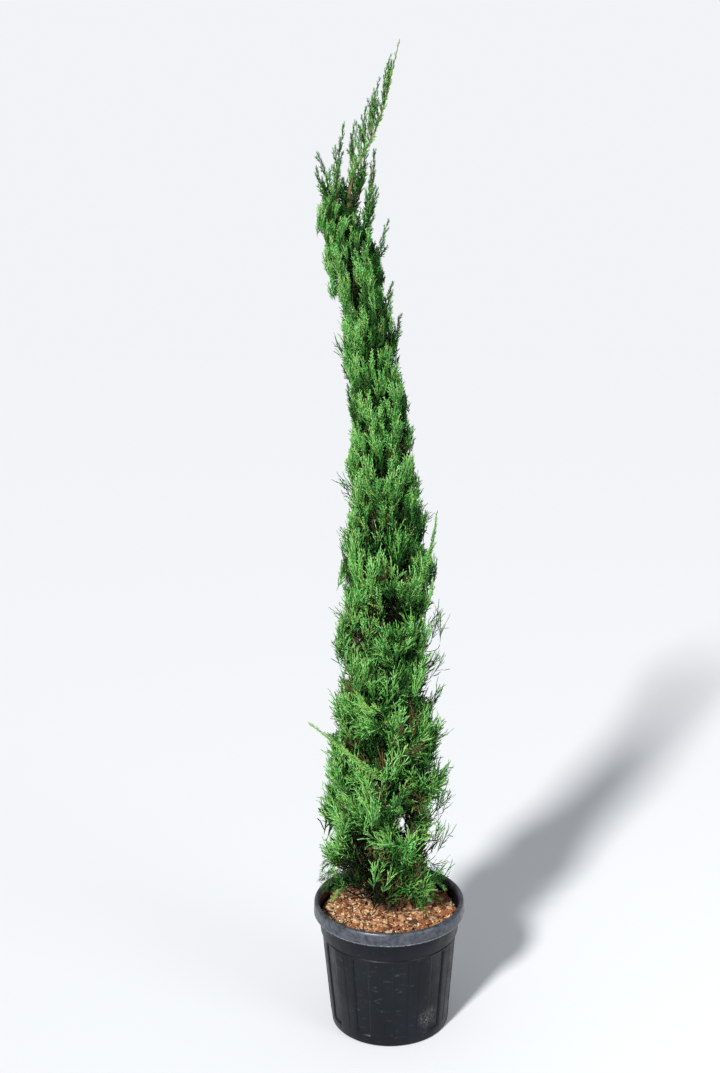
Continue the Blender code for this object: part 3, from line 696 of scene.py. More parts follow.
# %% Grow the trunk with its ridges
nothing_selected()
bpy.ops.mesh.primitive_circle_add(vertices=20, radius=float(trunk_radii[0]), location=tuple(trunk_line[0]))
trunk = bpy.context.object
trunk.name = "trunk_bark"
bpy.ops.object.transform_apply(location=True, rotation=True, scale=True)
bpy.context.tool_settings.mesh_select_mode = SELECT_EDGES
bpy.ops.object.mode_set(mode="EDIT")
bpy.ops.mesh.select_all(action="SELECT")
bpy.ops.mesh.edge_face_add()
for step in range(1, len(trunk_line)):
    move = tuple(trunk_line[step] - trunk_line[step - 1])
    bpy.ops.mesh.extrude_region_move(TRANSFORM_OT_translate={"value": move})
    grow = trunk_radii[step] / trunk_radii[step - 1]
    bpy.ops.transform.resize(value=(grow, grow, grow), center_override=tuple(trunk_line[step]))
bpy.ops.mesh.select_all(action="SELECT")
bpy.ops.mesh.normals_make_consistent(inside=False)
bpy.ops.mesh.subdivide(number_cuts=2, smoothness=0)
bpy.ops.object.mode_set(mode="OBJECT")


def ridge(place, around):
    """Stringy bark: ridges that run along the limb and break off now and then."""
    run = Vector((math.cos(around) * 2.3, math.sin(around) * 2.3, place.z * 9))
    return 0.5 - abs(noise.noise(run * 1.9)) + 0.5 * noise.noise(run * 5.1)


FLARE_RUN, BUTTRESS, BUTTRESSES, RIDGE_SHARE = 0.06, 0.006, 5, 0.20
LEADER_FOOT, LEADER_SLIMMING, SLIMMING_RUN = 2.14, 0.38, 0.10
for vertex in trunk.data.vertices:
    middle = Vector(trunk_at(vertex.co.z)[0])
    outward = vertex.co - middle
    outward.z = 0
    if trunk_foot + 0.001 < vertex.co.z < trunk_top - 0.002 and outward.length > 1e-5:
        around = math.atan2(outward.y, outward.x)
        flare = max(0.0, 1 - (vertex.co.z - trunk_foot) / FLARE_RUN)
        buttress = BUTTRESS * flare * math.cos(around * BUTTRESSES + 0.7)
        ridged = outward.length * RIDGE_SHARE * ridge(vertex.co, around)
        vertex.co += outward.normalized() * (ridged + buttress)
    if vertex.co.z > LEADER_FOOT:  # the measured leader stands for its twigs too, so its stem is slimmer
        middle.z = vertex.co.z
        slim = 1 - LEADER_SLIMMING * min(1.0, (vertex.co.z - LEADER_FOOT) / SLIMMING_RUN)
        vertex.co = middle + (vertex.co - middle) * slim
smooth_by_angle(trunk, 60)
print("trunk:", len(trunk.data.polygons), "faces")

# %% [markdown]
# ## Bark and twig finishes
#
# Old juniper bark is red-brown with grey weathered strips. The young leader is still olive,
# so the same finish turns greener with height on the piece itself.

# %% Bark finish
STRIPS_PER_METRE, STRIP_DEPTH, STRIP_STRETCH = 70, 0.0012, (1, 1, 0.14)
OLD_BARK_TINTS = ((0.050, 0.026, 0.016), (0.145, 0.075, 0.045), (0.260, 0.185, 0.135))
YOUNG_BARK, YOUNG_FROM, YOUNG_TO = (0.215, 0.175, 0.055), 2.08, 2.22  # olive, and where it begins and is full
TWIG_TINTS = ((0.034, 0.016, 0.009), (0.078, 0.038, 0.019), (0.145, 0.084, 0.044))
# Near-black bark for the wood in the pockets and the seam: painted shade.
SHADE_BARK_TINTS = ((0.010, 0.007, 0.005), (0.020, 0.013, 0.009), (0.040, 0.026, 0.018))


def bark_finish(name, tints, turns_young=False):
    """Bark in strips along the limb, which turns olive with height where the limb is young there."""
    made, tree, shader, place = start_finish(name, 0.88, 0.3)
    strips = noise_node(tree, place, STRIPS_PER_METRE, detail=6, roughness=0.65, stretch=STRIP_STRETCH)
    colour = ramp_node(tree, strips, list(zip((0.32, 0.5, 0.66), tints)))
    if turns_young:
        split = tree.nodes.new("ShaderNodeSeparateXYZ")
        tree.links.new(place, split.inputs["Vector"])
        share = tree.nodes.new("ShaderNodeMapRange")
        share.inputs["From Min"].default_value = YOUNG_FROM
        share.inputs["From Max"].default_value = YOUNG_TO
        tree.links.new(split.outputs["Z"], share.inputs["Value"])
        colour = mixed(tree, share.outputs["Result"], colour, YOUNG_BARK)
    tree.links.new(colour, shader.inputs["Base Color"])
    add_relief(tree, shader, strips, STRIP_DEPTH)
    return made


old_bark = bark_finish("stringy_bark", OLD_BARK_TINTS, turns_young=True)
twig_bark = bark_finish("twig_bark", TWIG_TINTS)
painted_shade_bark = bark_finish("painted_shade_bark", SHADE_BARK_TINTS)
trunk.data.materials.append(old_bark)
settle(trunk)
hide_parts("trunk")
print("bark finishes ready")

# %% [markdown]
# ## One whip and one spray
#
# Up close, this juniper carries no needles: every green twig is a thin cord of pressed scale leaves.
# One cord is a three-sided spindle, extruded from a triangle and gathered to a point at both ends.
# A spray is a green stem with side twigs set round it in a spiral, and cords set along each side twig.
# Six different sprays of each kind are enough, because each copy is turned, scaled and bent differently.
# The lowest side twigs are made apart, since they lie in shade, and they are tinted darker as painted shade.
# So is every third one above them, which is older and duller.

# %% Model a cord and a side twig
CORD = arrays_of(turned_by_extruding("cord", [(0.5, 0.62)], 3, pointed=True))
SIDE_TWIG = arrays_of(turned_by_extruding("side_twig", [(0.46, 0.25), (0.46, 0.80)], 3, pointed=True))
print("cord:", len(CORD[1]), "triangles, side twig:", len(SIDE_TWIG[1]))

# %% Helper that lays spindles out
def laid(shape, bases, directions, lengths, widths, bends):
    """Copies of a spindle, each from its base along its direction and bent by a vector towards its end."""
    points, triangles = shape
    frames = turned_frames(unit(directions), rng.uniform(0, 2 * math.pi, len(bases)))
    sizes = np.stack([widths, widths, lengths], 1)
    local = points[None] * sizes[:, None]
    moved = np.einsum("nij,nvj->nvi", frames, local) + bases[:, None]
    moved += bends[:, None] * (points[:, 2] ** 2)[None, :, None]
    return repeated(moved, triangles)


print("laying helper ready")

# %% Grow one spray
GOLDEN = 2.39996  # the golden angle, which turns each side twig away from the ones before
CORE_SHARE = 0.36  # the lowest side twigs of a spray, which lie in the shade of the rest and get a tint two steps darker: painted shade
SWAY, LAST_CORD, CORD_UP = 0.05, 0.85, 0.12  # the stem's sway, the last cord's place, how far cords turn up


def make_spray(twigs, cords, span, reach, spread, cord_length, cord_width, taper, curl):
    """One spray of length 1 along +Z, in three parts: core with the stem, tinted darker later as painted
    shade, dull cords, clear cords.
    """
    sway = rng.normal(0, SWAY, 3) * (1, 1, 0)
    foot, upright = np.zeros((1, 3)), np.array([[0, 0, 1.0]])
    stem = laid(SIDE_TWIG, foot, upright, np.array([1.0]), np.array([cord_width * 1.3]), sway[None])
    parts = {"core": [stem], "dull": [], "clear": []}
    whips = {part: [[], [], [], []] for part in parts}
    sprigs = {part: [[], [], [], []] for part in parts}
    for number in range(twigs):
        share = 0.06 + span * (number + rng.uniform(0.1, 0.9)) / twigs
        around = GOLDEN * number + rng.normal(0, 0.35)
        side = np.array([math.cos(around), math.sin(around), 0])
        lean = math.radians(spread * (1 - 0.30 * share) * rng.uniform(0.7, 1.25))
        aim = side * math.sin(lean) + np.array([0, 0, math.cos(lean)])
        length = reach * (1 - taper * share) * rng.uniform(0.75, 1.2)
        base = np.array([0, 0, share]) + sway * share**2
        part = "core" if number < twigs * CORE_SHARE else ("clear", "dull", "clear")[number % 3]
        square = np.cross(aim, [0, 0, 1.0])
        square /= np.linalg.norm(square)
        third = np.cross(aim, square)
        lift = (np.array([0, 0, 1]) - aim) * length * rng.uniform(0.1, 0.5)
        bend = lift + square * length * rng.normal(0, curl)
        for values, value in zip(whips[part], (base, aim, length, bend)):
            values.append(value)
        for place in range(cords):
            along = (place + rng.uniform(0.35, 0.95)) / cords
            turn = math.pi * place + rng.normal(0.5, 0.6)
            out = square * math.cos(turn) + third * math.sin(turn)
            angle = math.radians(rng.uniform(16, 38))
            way = aim * math.cos(angle) + out * math.sin(angle) + np.array([0, 0, CORD_UP])
            size = cord_length * rng.uniform(0.7, 1.3) * (1 - 0.3 * along)
            hook = out * size * rng.normal(-curl * 0.5, curl)
            start = base + aim * length * along * LAST_CORD + bend * along**2
            for values, value in zip(sprigs[part], (start, way, size, hook)):
                values.append(value)
    for made, shape in ((whips, SIDE_TWIG), (sprigs, SIDE_TWIG if curl > 0.1 else CORD)):
        for part, (starts, ways, sizes, hooks) in made.items():
            widths = cord_width * rng.uniform(0.82, 1.12, len(starts))
            starts, ways, sizes, hooks = (np.array(values) for values in (starts, ways, sizes, hooks))
            parts[part].append(laid(shape, starts, ways, sizes, widths, hooks))
    return {part: stacked(pieces) for part, pieces in parts.items()}


print("spray model ready")

# %% Six sprays of each kind
# Side twigs, cords on each, span of the stem that bears them, their reach, their spread in degrees,
# cord length, cord width, taper and curl. Lengths and widths are shares of the spray's length.
SPRAY_KINDS = {
    "upright": (9, 4, 0.70, 0.40, 27, 0.21, 0.042, 0.30, 0.05),
    "brush": (10, 3, 0.42, 0.60, 32, 0.22, 0.036, 0.15, 0.10),
    "arching": (8, 3, 0.74, 0.44, 42, 0.27, 0.030, 0.20, 0.26),
    "inner": (7, 2, 0.74, 0.50, 50, 0.34, 0.046, 0.30, 0.05),
    "tip": (8, 3, 0.74, 0.36, 27, 0.26, 0.048, 0.55, 0.05),
    "wisp": (6, 2, 0.70, 0.40, 32, 0.28, 0.024, 0.20, 0.28),
}
VARIANTS = 6
SPRAYS = {kind: [make_spray(*facts) for _ in range(VARIANTS)] for kind, facts in SPRAY_KINDS.items()}
for kind, variants in SPRAYS.items():
    print("spray", kind, "-", sum(len(triangles) for _, triangles in variants[0].values()), "triangles")

# %% [markdown]
# ## Where the sprays stand
#
# A clipped conifer is not a smooth skin. Each bough divides into branches, and every branch ends in a brush
# of sprays that fans out from one heart, crowded in the middle and falling away at its edges.
# The dark lines between the brushes are what the eye reads as depth, and the deeper tints that sprays there
# get add painted shade.
# So the surface of the measured spiral is first dealt out to brush hearts that keep their distance, and
# sprays are then grown from each heart to points of its own share of the surface. Low down they arch outward,
# and higher up they stand upright.
# Nearly every measure of the growth changes with height, so they are all kept in one table.

# %% How the growth changes with height
# For each measure: heights in metres, and its value at each of them.
WITH_HEIGHT = {
    "heart spacing": ([0.35, 0.9, 1.3, 2.1], [0.082, 0.072, 0.058, 0.044]),
    "crowding": ([0.4, 1.1, 1.5, 2.1], [0.95, 1.05, 1.65, 2.3]),
    "edge sink": ([0.4, 1.1, 1.5, 2.0], [0.036, 0.031, 0.021, 0.012]),
    "bulge": ([0.4, 0.8, 1.1, 2.0], [-0.008, -0.007, 0.001, 0.001]),
    "brush depth": ([0.4, 1.1, 2.0], [0.009, 0.008, 0.004]),
    "heart drop": ([0.35, 0.8, 1.4, 2.1], [0.030, 0.045, 0.055, 0.055]),
    "upness": ([0.36, 0.7, 1.1, 1.5, 2.1], [0.15, 0.30, 0.48, 0.72, 0.84]),
    "brush wander": ([0.4, 1.1, 1.5, 2.1], [0.30, 0.24, 0.09, 0.04]),
    "spray wander": ([1.1, 1.6], [0.16, 0.09]),
    "lowest aim": ([0.36, 0.55, 1.2, 1.5], [-0.30, 0.0, 0.25, 0.60]),
    "length": ([0.4, 1.0, 1.5, 2.1], [0.082, 0.074, 0.054, 0.045]),
    "lift": ([0.4, 1.2, 2.1], [0.22, 0.16, 0.08]),
    "tone": ([0.75, 0.95, 1.3, 1.9, 2.1], [0.10, 0.36, 0.36, 0.26, 0.20]),
    "arching share": ([0.6, 1.0, 1.3, 1.5], [1.0, 0.8, 0.3, 0.0]),
    "brush share": ([0.6, 1.0, 1.5, 2.1], [0.15, 0.55, 0.55, 0.30]),
    "inner length": ([0.4, 1.2, 2.1], [0.082, 0.070, 0.044]),
    "dead share": ([0.4, 1.3, 1.8], [0.27, 0.16, 0.06]),
    "core reach": ([0.9, 1.4, 2.05], [0.070, 0.052, 0.030]),
    "core length": ([0.9, 2.05], [0.085, 0.055]),
    "branch radius": ([0.4, 1.3, 2.1], [0.0036, 0.0026, 0.0017]),
}


def at_height(measure, heights):
    """That measure of the growth at each height."""
    return np.interp(heights, *WITH_HEIGHT[measure])


def outward_at(points):
    """The level way out from the trunk at each point."""
    away = points - trunk_at(points[:, 2])
    away[:, 2] = 0
    return unit(away)


def reach_of(points):
    """How far each point is from the trunk's middle, level."""
    return np.linalg.norm((points - trunk_at(points[:, 2]))[:, :2], axis=1)


def rise_at(heights):
    """Which way is up along the leaning column at each height."""
    span = 0.12
    return unit(trunk_at(heights + span) - trunk_at(heights - span))


print("measures that change with height:", len(WITH_HEIGHT))

# %% Sample the spiral's outer surface
MASSES = sorted(name for name in nodes if name.startswith("foliage_"))
SAMPLES_PER_MASS = 900
FACING_OUT = 0.25  # a face counts as outer when it faces away from the trunk by this cosine


def outer_samples(name, count):
    """Random points of a mass's outer face, evenly by area, and the area of that face."""
    corners = corners_of(name)
    normals = np.cross(corners[:, 1] - corners[:, 0], corners[:, 2] - corners[:, 0])
    areas = np.linalg.norm(normals, axis=1) / 2
    faces_out = (unit(normals) * outward_at(corners.mean(1))).sum(1) > FACING_OUT
    corners, areas = corners[faces_out], areas[faces_out]
    picked = rng.choice(len(corners), count, p=areas / areas.sum())
    first, second = rng.uniform(0, 1, (2, count))
    over = first + second > 1
    first[over], second[over] = 1 - first[over], 1 - second[over]
    points = corners[picked, 0] * (1 - first - second)[:, None]
    points += corners[picked, 1] * first[:, None] + corners[picked, 2] * second[:, None]
    return points, areas.sum()


samples = [outer_samples(name, SAMPLES_PER_MASS) for name in MASSES]
surface_points = np.concatenate([points for points, _ in samples])
surface_areas = np.repeat([area / SAMPLES_PER_MASS for _, area in samples], SAMPLES_PER_MASS)
surface_mass = np.repeat(np.arange(len(MASSES)), SAMPLES_PER_MASS)
print("outer surface:", round(float(surface_areas.sum()), 2), "m2,", len(surface_points), "samples")

# %% Deal the surface out to brush hearts
UPRIGHT_SQUEEZE = 0.62  # a brush is taller than it is wide
HEART_ROOM = 0.80  # the share of the heart spacing that stays free round each heart


def squeezed(points):
    """The points with heights counted for less, which lets a brush be taller than it is wide."""
    return points * np.array([1, 1, UPRIGHT_SQUEEZE])


hearts = []
for number in rng.permutation(len(surface_points)):
    point = squeezed(surface_points[number])
    room = at_height("heart spacing", surface_points[number, 2]) * HEART_ROOM
    if all(np.linalg.norm(point - squeezed(surface_points[other])) > room for other in hearts):
        hearts.append(number)
heart_points = surface_points[hearts]
heart_mass = surface_mass[hearts]
print("brush hearts:", len(hearts))

# %% Grow the sprays of every brush
SPRAYS_PER_SQUARE_METRE = 1950
BRUSH_EDGE = 0.62  # the share of the heart spacing at which a brush has its edge
CROWN_EDGE, CROWN_FADE, CROWN_DROP = 2.08, 0.09, 0.055  # the crown's top is ragged from the edge on up
HEART_DEPTH_SHARE, SHALLOWEST_HEART, DEEPEST_HEART = 0.42, 0.02, 0.062


def heart_depth(points):
    """How far inside the surface a brush has its heart."""
    return np.clip(reach_of(points) * HEART_DEPTH_SHARE, SHALLOWEST_HEART, DEEPEST_HEART)[:, None]


crowding = at_height("crowding", surface_points[:, 2])
tip_chance = surface_areas * SPRAYS_PER_SQUARE_METRE * crowding
tip_numbers = np.nonzero(rng.uniform(0, 1, len(surface_points)) < tip_chance)[0]
tips = surface_points[tip_numbers]
apart = np.linalg.norm(squeezed(tips)[:, None] - squeezed(heart_points)[None], axis=2)
own_heart = apart.argmin(1)
edge_share = np.clip(apart.min(1) / (at_height("heart spacing", tips[:, 2]) * BRUSH_EDGE), 0, 1.3)

outward, rise = outward_at(tips), rise_at(tips[:, 2])
brush_depth = rng.normal(0, 1, len(hearts)).clip(-1.6, 1.2)[own_heart] * at_height("brush depth", tips[:, 2])
crown_drop = np.clip((tips[:, 2] - CROWN_EDGE) / CROWN_FADE, 0, 1) * rng.uniform(0, CROWN_DROP, len(tips))
offset = at_height("bulge", tips[:, 2]) + brush_depth - at_height("edge sink", tips[:, 2]) * edge_share**2
offset = offset + rng.normal(0, 0.004, len(tips))
tips = tips + outward * offset[:, None] - rise * crown_drop[:, None]
heights = tips[:, 2]

heart_out = outward_at(heart_points)[own_heart] * heart_depth(surface_points[tip_numbers])
heart_inside = heart_points[own_heart] - heart_out - rise * at_height("heart drop", heights)[:, None]
upness = at_height("upness", heights)[:, None]
brush_wander = rng.normal(0, 1, (len(hearts), 3))[own_heart] * at_height("brush wander", heights)[:, None]
aims = unit(tips - heart_inside) * (1 - upness) + rise * upness + brush_wander
aims = unit(aims + rng.normal(0, 1, aims.shape) * at_height("spray wander", heights)[:, None])
aims = unit(np.stack([aims[:, 0], aims[:, 1], np.maximum(aims[:, 2], at_height("lowest aim", heights))], 1))
lengths = at_height("length", heights) * rng.uniform(0.78, 1.22, len(tips))
lift = at_height("lift", heights) * rng.uniform(0.4, 1.3, len(tips))
print("sprays:", len(tips))

# %% [markdown]
# ## Hollows and gaps
#
# No hand-clipped spiral is evenly full. A few pockets are dark where a branch died back inside, and the
# growth and wood round them are painted near black as painted shade. Near the foot there is daylight through
# the plant where its spiral was opened.
# A steep seam runs up the front of the upper half, where two strands of growth lie side by side.
# Sprays that would fill these places are simply not grown. A pocket is a ball, a gap is a straight tunnel,
# and the seam is a bent line with a width.

# %% Places that stay open
# Middle and radius of each dark pocket.
POCKETS = [
    ((0.010, -0.108, 1.155), 0.043), ((0.009, -0.142, 1.166), 0.036), ((-0.010, -0.112, 1.012), 0.015),
    ((0.030, -0.106, 0.918), 0.019), ((-0.022, -0.146, 0.812), 0.024), ((-0.090, -0.140, 0.690), 0.021),
    ((-0.098, -0.112, 0.545), 0.032), ((-0.092, -0.100, 0.480), 0.038), ((-0.080, -0.085, 0.420), 0.046),
    ((-0.060, -0.075, 0.380), 0.042), ((0.016, -0.150, 0.708), 0.018), ((-0.044, -0.066, 1.366), 0.014),
    ((0.060, 0.095, 0.760), 0.026), ((-0.070, 0.090, 0.980), 0.015), ((0.020, 0.105, 1.230), 0.018),
    ((-0.040, 0.130, 0.560), 0.026),
]
# One end, the other end and the radius of each tunnel of daylight.
TUNNELS = [
    ((0.032, -0.16, 0.607), (0.035, 0.16, 0.489), 0.008),
    ((0.036, -0.16, 0.578), (0.039, 0.16, 0.460), 0.005),
    ((-0.036, -0.17, 0.538), (-0.035, 0.16, 0.412), 0.004),
    ((0.098, -0.12, 0.744), (0.108, 0.12, 0.640), 0.005),
]
# The seam's line up the front, and its half width at each point.
SEAM = [
    (-0.082, -0.067, 2.069, 0.010), (-0.074, -0.065, 1.975, 0.010), (-0.060, -0.057, 1.895, 0.008),
    (-0.048, -0.050, 1.819, 0.009), (-0.002, -0.055, 1.736, 0.006), (0.023, -0.063, 1.596, 0.008),
    (0.043, -0.076, 1.461, 0.010), (0.036, -0.080, 1.404, 0.010), (0.015, -0.101, 1.272, 0.008),
]
print("pockets:", len(POCKETS), "tunnels:", len(TUNNELS), "points of the seam:", len(SEAM))

# %% Tests for the open places
SEAM_SHADE = 0.030  # wood this close to the seam, or behind it, gets the near-black bark: painted shade


def distance_to_line(points, start, end):
    """How far each point is from a straight line between two ends."""
    start, end = np.array(start), np.array(end)
    share = np.clip(((points - start) @ (end - start)) / ((end - start) @ (end - start)), 0, 1)
    return np.linalg.norm(points - start - share[:, None] * (end - start), axis=1)


def points_along(feet, ways, sizes, share):
    """The point of each spray at that share of its length."""
    return feet + ways * (sizes * share)[:, None]


def kept_open(feet, ways, sizes, width):
    """True for each spray outside every pocket, tunnel and seam. Width is half its own, over its length."""
    keep = np.ones(len(feet), bool)
    for share in (0.15, 0.4, 0.65, 0.9):
        points = points_along(feet, ways, sizes, share)
        own = sizes * width * (1.1 - 0.6 * share)
        for middle, radius in POCKETS:
            keep &= np.linalg.norm(points - np.array(middle), axis=1) > radius + 0.35 * own
        for start, end, radius in TUNNELS:
            keep &= distance_to_line(points, start, end) > radius + 0.45 * own
        for low, high in zip(SEAM, SEAM[1:]):
            keep &= distance_to_line(points, low[:3], high[:3]) > (low[3] + high[3]) / 2 - 0.002
    return keep


def in_hollow(points, margin):
    """True for each point in a pocket, or within the margin of one."""
    inside = np.zeros(len(points), bool)
    for middle, radius in POCKETS:
        inside |= np.linalg.norm(points - np.array(middle), axis=1) < radius + margin
    return inside


def in_seam(points):
    """True for each point close to the seam, or behind it."""
    inside = np.zeros(len(points), bool)
    for low, high in zip(SEAM, SEAM[1:]):
        inside |= distance_to_line(points, low[:3], high[:3]) < SEAM_SHADE
    return inside


print("tests for open places ready")

# %% The clipped underside
SKIRT_FOOT, SKIRT_SLOPE, SKIRT_CORE = 0.342, 0.56, 0.03  # height, rise to the metre, and where it starts
LOW_SIDE, LOW_SIDE_SLOPE = np.array([0.94, -0.34]), 0.26  # here the foliage comes down nearly to the mulch


def above_skirt(feet, ways, sizes):
    """True for each spray that stays above the clipped underside, which rises outward from the mulch."""
    keep = np.ones(len(feet), bool)
    for share in (0.6, 0.85, 1.0):
        points = points_along(feet, ways, sizes, share)
        slope = SKIRT_SLOPE - LOW_SIDE_SLOPE * np.clip(unit(points[:, :2]) @ LOW_SIDE, 0, 1) ** 2
        floor = SKIRT_FOOT + slope * np.clip(np.hypot(points[:, 0], points[:, 1]) - SKIRT_CORE, 0, None)
        keep &= points[:, 2] > floor + 0.10 * sizes
    return keep


print("underside: from", SKIRT_FOOT, "m up, less steep on the low side")

# %% Leave those sprays out
CREASE_EDGE, CREASE_KEPT = 0.86, 0.38  # past this share of a brush, only some of the sprays are grown
bases = tips - aims * lengths[:, None]
keep = kept_open(bases, aims, lengths, 0.28)
keep &= above_skirt(bases, aims, lengths)
keep &= (edge_share < CREASE_EDGE) | (rng.uniform(0, 1, len(tips)) < CREASE_KEPT)
print("sprays left out of the hollows, the creases and the underside:", int((~keep).sum()))

# %% [markdown]
# ## Tints
#
# Foliage is never one green. Sprays on the lit side get brighter tints, as painted light, and the ones in the
# creases get deeper tints, as painted shade. Long unclipped shoots are nearly yellow, and inside, where no
# light comes, the cords die to bronze.
# Each spray takes one tint as a whole, and neighbours on one brush lean the same way,
# so the colour changes in tufts as it does on the plant, and each tint can be its own plain material.

# %% Leaf finishes
HUE_DRIFT = [(0.37, (1.0, 0.96, 0.38)), (0.50, (0.95, 1.0, 0.92)), (0.61, (0.46, 1.0, 0.80))]  # warm to cool
SHADE_DRIFT = [(0.35, (0.80,)), (0.65, (1.0,))]
SHEEN = [(0.3, (0.42,)), (0.7, (0.60,))]
SHADE_PER_METRE, HUE_PER_METRE, CORDS_PER_METRE, SCALES_PER_METRE, SCALE_DEPTH = 24, 62, 190, 1100, 0.0003


def leaf_finish(name, tints, specular):
    """Pressed scale leaves: tints that change from cord to cord, a waxy sheen, and fine scale relief."""
    made, tree, shader, place = start_finish(name, 0.50, specular)
    broad = noise_node(tree, place, SHADE_PER_METRE, detail=2)
    fine = noise_node(tree, place, CORDS_PER_METRE, detail=2)
    drift = noise_node(tree, place, HUE_PER_METRE, detail=1)
    colour = ramp_node(tree, fine, list(zip((0.34, 0.50, 0.66), tints)))
    colour = mixed(tree, drift, colour, ramp_node(tree, drift, HUE_DRIFT), "MULTIPLY")
    colour = mixed(tree, 1.0, colour, ramp_node(tree, broad, SHADE_DRIFT), "MULTIPLY")
    tree.links.new(colour, shader.inputs["Base Color"])
    tree.links.new(ramp_node(tree, fine, SHEEN), shader.inputs["Roughness"])
    scales = noise_node(tree, place, SCALES_PER_METRE, detail=1, stretch=(1, 1, 0.45))
    add_relief(tree, shader, scales, SCALE_DEPTH, 0.7)
    return made


LEAF_TINTS = {
    # The near-black tint is painted shade, for growth deep inside and round the pockets.
    "burnt": ([(0.005, 0.006, 0.003), (0.009, 0.012, 0.005), (0.016, 0.024, 0.008)], "black_shade_inner", 0.10),
    "shade": ([(0.009, 0.045, 0.008), (0.015, 0.072, 0.011), (0.027, 0.106, 0.017)], "shaded_green", 0.16),
    "deep": ([(0.022, 0.103, 0.018), (0.042, 0.172, 0.027), (0.076, 0.246, 0.042)], "deep_green", 0.24),
    "mid": ([(0.064, 0.232, 0.046), (0.128, 0.372, 0.074), (0.206, 0.494, 0.110)], "mid_green", 0.32),
    "fresh": ([(0.134, 0.362, 0.078), (0.232, 0.530, 0.130), (0.344, 0.660, 0.200)], "fresh_green", 0.32),
    "bright": ([(0.210, 0.475, 0.120), (0.340, 0.655, 0.210), (0.480, 0.785, 0.330)], "bright_green", 0.32),
    "shoot": (
        [(0.270, 0.480, 0.070), (0.430, 0.650, 0.130), (0.580, 0.760, 0.230)], "shoot_yellow_green", 0.32,
    ),
    "bronze": ([(0.058, 0.036, 0.014), (0.104, 0.076, 0.026), (0.152, 0.134, 0.042)], "bronze_inner", 0.32),
}
LEAVES = {tint: leaf_finish(name, tints, sheen) for tint, (tints, name, sheen) in LEAF_TINTS.items()}
# What each tint turns to one step darker: once on the dull side twigs, twice on a spray's core as painted
# shade.
TINT_ONE_STEP_DARKER = {
    "burnt": "burnt", "shade": "shade", "deep": "shade", "mid": "deep",
    "fresh": "mid", "bright": "fresh", "shoot": "bright", "bronze": "bronze",
}
TINT = {name: number for number, name in enumerate(LEAVES)}
KIND = {name: number for number, name in enumerate(SPRAY_KINDS)}
print("leaf finishes:", ", ".join(LEAVES))

# %% Deal out the tints
TINTS_BY_TONE, TONE_STEPS = ("deep", "mid", "fresh", "bright"), [-0.85, -0.25, 0.45]
BRONZE_SHARE, BRONZE_BELOW, YELLOW_SHARE = 0.042, 1.45, 0.012
FOOT_TOP, FOOT_FADE, FOOT_DROOP = 0.41, 0.09, 0.25  # sprays droop towards the mulch below the foot's top

heart_tone = rng.normal(0, 0.32, len(heart_points))
# Painted light: sprays that face the lamp, to the left and the front, get brighter tints.
painted_light_side = -0.45 * outward[:, 0] - 0.30 * outward[:, 1]
tone = heart_tone[own_heart] + rng.normal(0, 0.60, len(tips)) + at_height("tone", tips[:, 2]) + painted_light_side
# Painted shade: sprays towards a brush's edge, in the creases, get deeper tints.
tone = tone - 1.05 * (edge_share - 0.5)
tint = np.array([TINT[name] for name in TINTS_BY_TONE])[np.digitize(tone, TONE_STEPS)]
chance = rng.uniform(0, 1, len(tips))
tint[(chance < BRONZE_SHARE) & (tips[:, 2] < BRONZE_BELOW)] = TINT["bronze"]
tint[chance > 1 - YELLOW_SHARE] = TINT["shoot"]
arches = rng.uniform(0, 1, len(tips)) < at_height("arching share", tips[:, 2])
kind = np.where(arches, KIND["arching"], KIND["upright"])
kind[rng.uniform(0, 1, len(tips)) < at_height("brush share", tips[:, 2])] = KIND["brush"]

foot = np.clip((FOOT_TOP - tips[:, 2]) / FOOT_FADE, 0, 1)
droop = FOOT_DROOP * foot * rng.uniform(0.2, 1.4, len(tips))
aims = unit(aims - np.array([0, 0, 1.0]) * droop[:, None])
bases = tips - aims * lengths[:, None]
bends = rise * (lengths * lift)[:, None]
sprays = [(bases[keep], aims[keep], lengths[keep], bends[keep], kind[keep], tint[keep])]
spray_heart = own_heart[keep]
print("tints:", {name: int((tint[keep] == number).sum()) for name, number in TINT.items()})

# %% [markdown]
# ## Growth inside
#
# Behind the surface the brushes go on, sparser and in darker tints that paint in the shade, so that no
# daylight shows between them.
# Inner sprays fill the depth of each mass. Some of them are dead, and more of them low down.
# Core sprays stand close round the trunk, where nothing is seen but darkness, in near-black and shaded tints
# as painted shade.
# Both are painted near black in the hollows, as painted shade.

# %% Inner sprays
INNER_SPRAYS, INNER_DEPTHS = 1700, (0.16, 0.62)  # how far in from the surface, as shares of the reach
HOLLOW_SHADE_INSIDE, HOLLOW_SHADE_CORE = 0.034, 0.045  # this close to a pocket the growth is painted near black: painted shade

picked = rng.choice(len(surface_points), INNER_SPRAYS, p=surface_areas / surface_areas.sum())
inner_tips = surface_points[picked]
inward = (inner_tips - trunk_at(inner_tips[:, 2])) * np.array([1, 1, 0])
inner_tips = inner_tips - inward * rng.uniform(*INNER_DEPTHS, INNER_SPRAYS)[:, None]
inner_rise = rise_at(inner_tips[:, 2])
inner_aims = unit(outward_at(inner_tips) * 0.7 + inner_rise * 0.8 + rng.normal(0, 0.35, inner_tips.shape))
inner_lengths = at_height("inner length", inner_tips[:, 2]) * rng.uniform(0.8, 1.2, INNER_SPRAYS)
inner_bases = inner_tips - inner_aims * inner_lengths[:, None]
inner_keep = above_skirt(inner_bases, inner_aims, inner_lengths)
for share in (0.1, 0.5, 0.9):
    points = points_along(inner_bases, inner_aims, inner_lengths, share)
    for start, end, radius in TUNNELS:
        inner_keep &= distance_to_line(points, start, end) > radius + 0.12 * inner_lengths
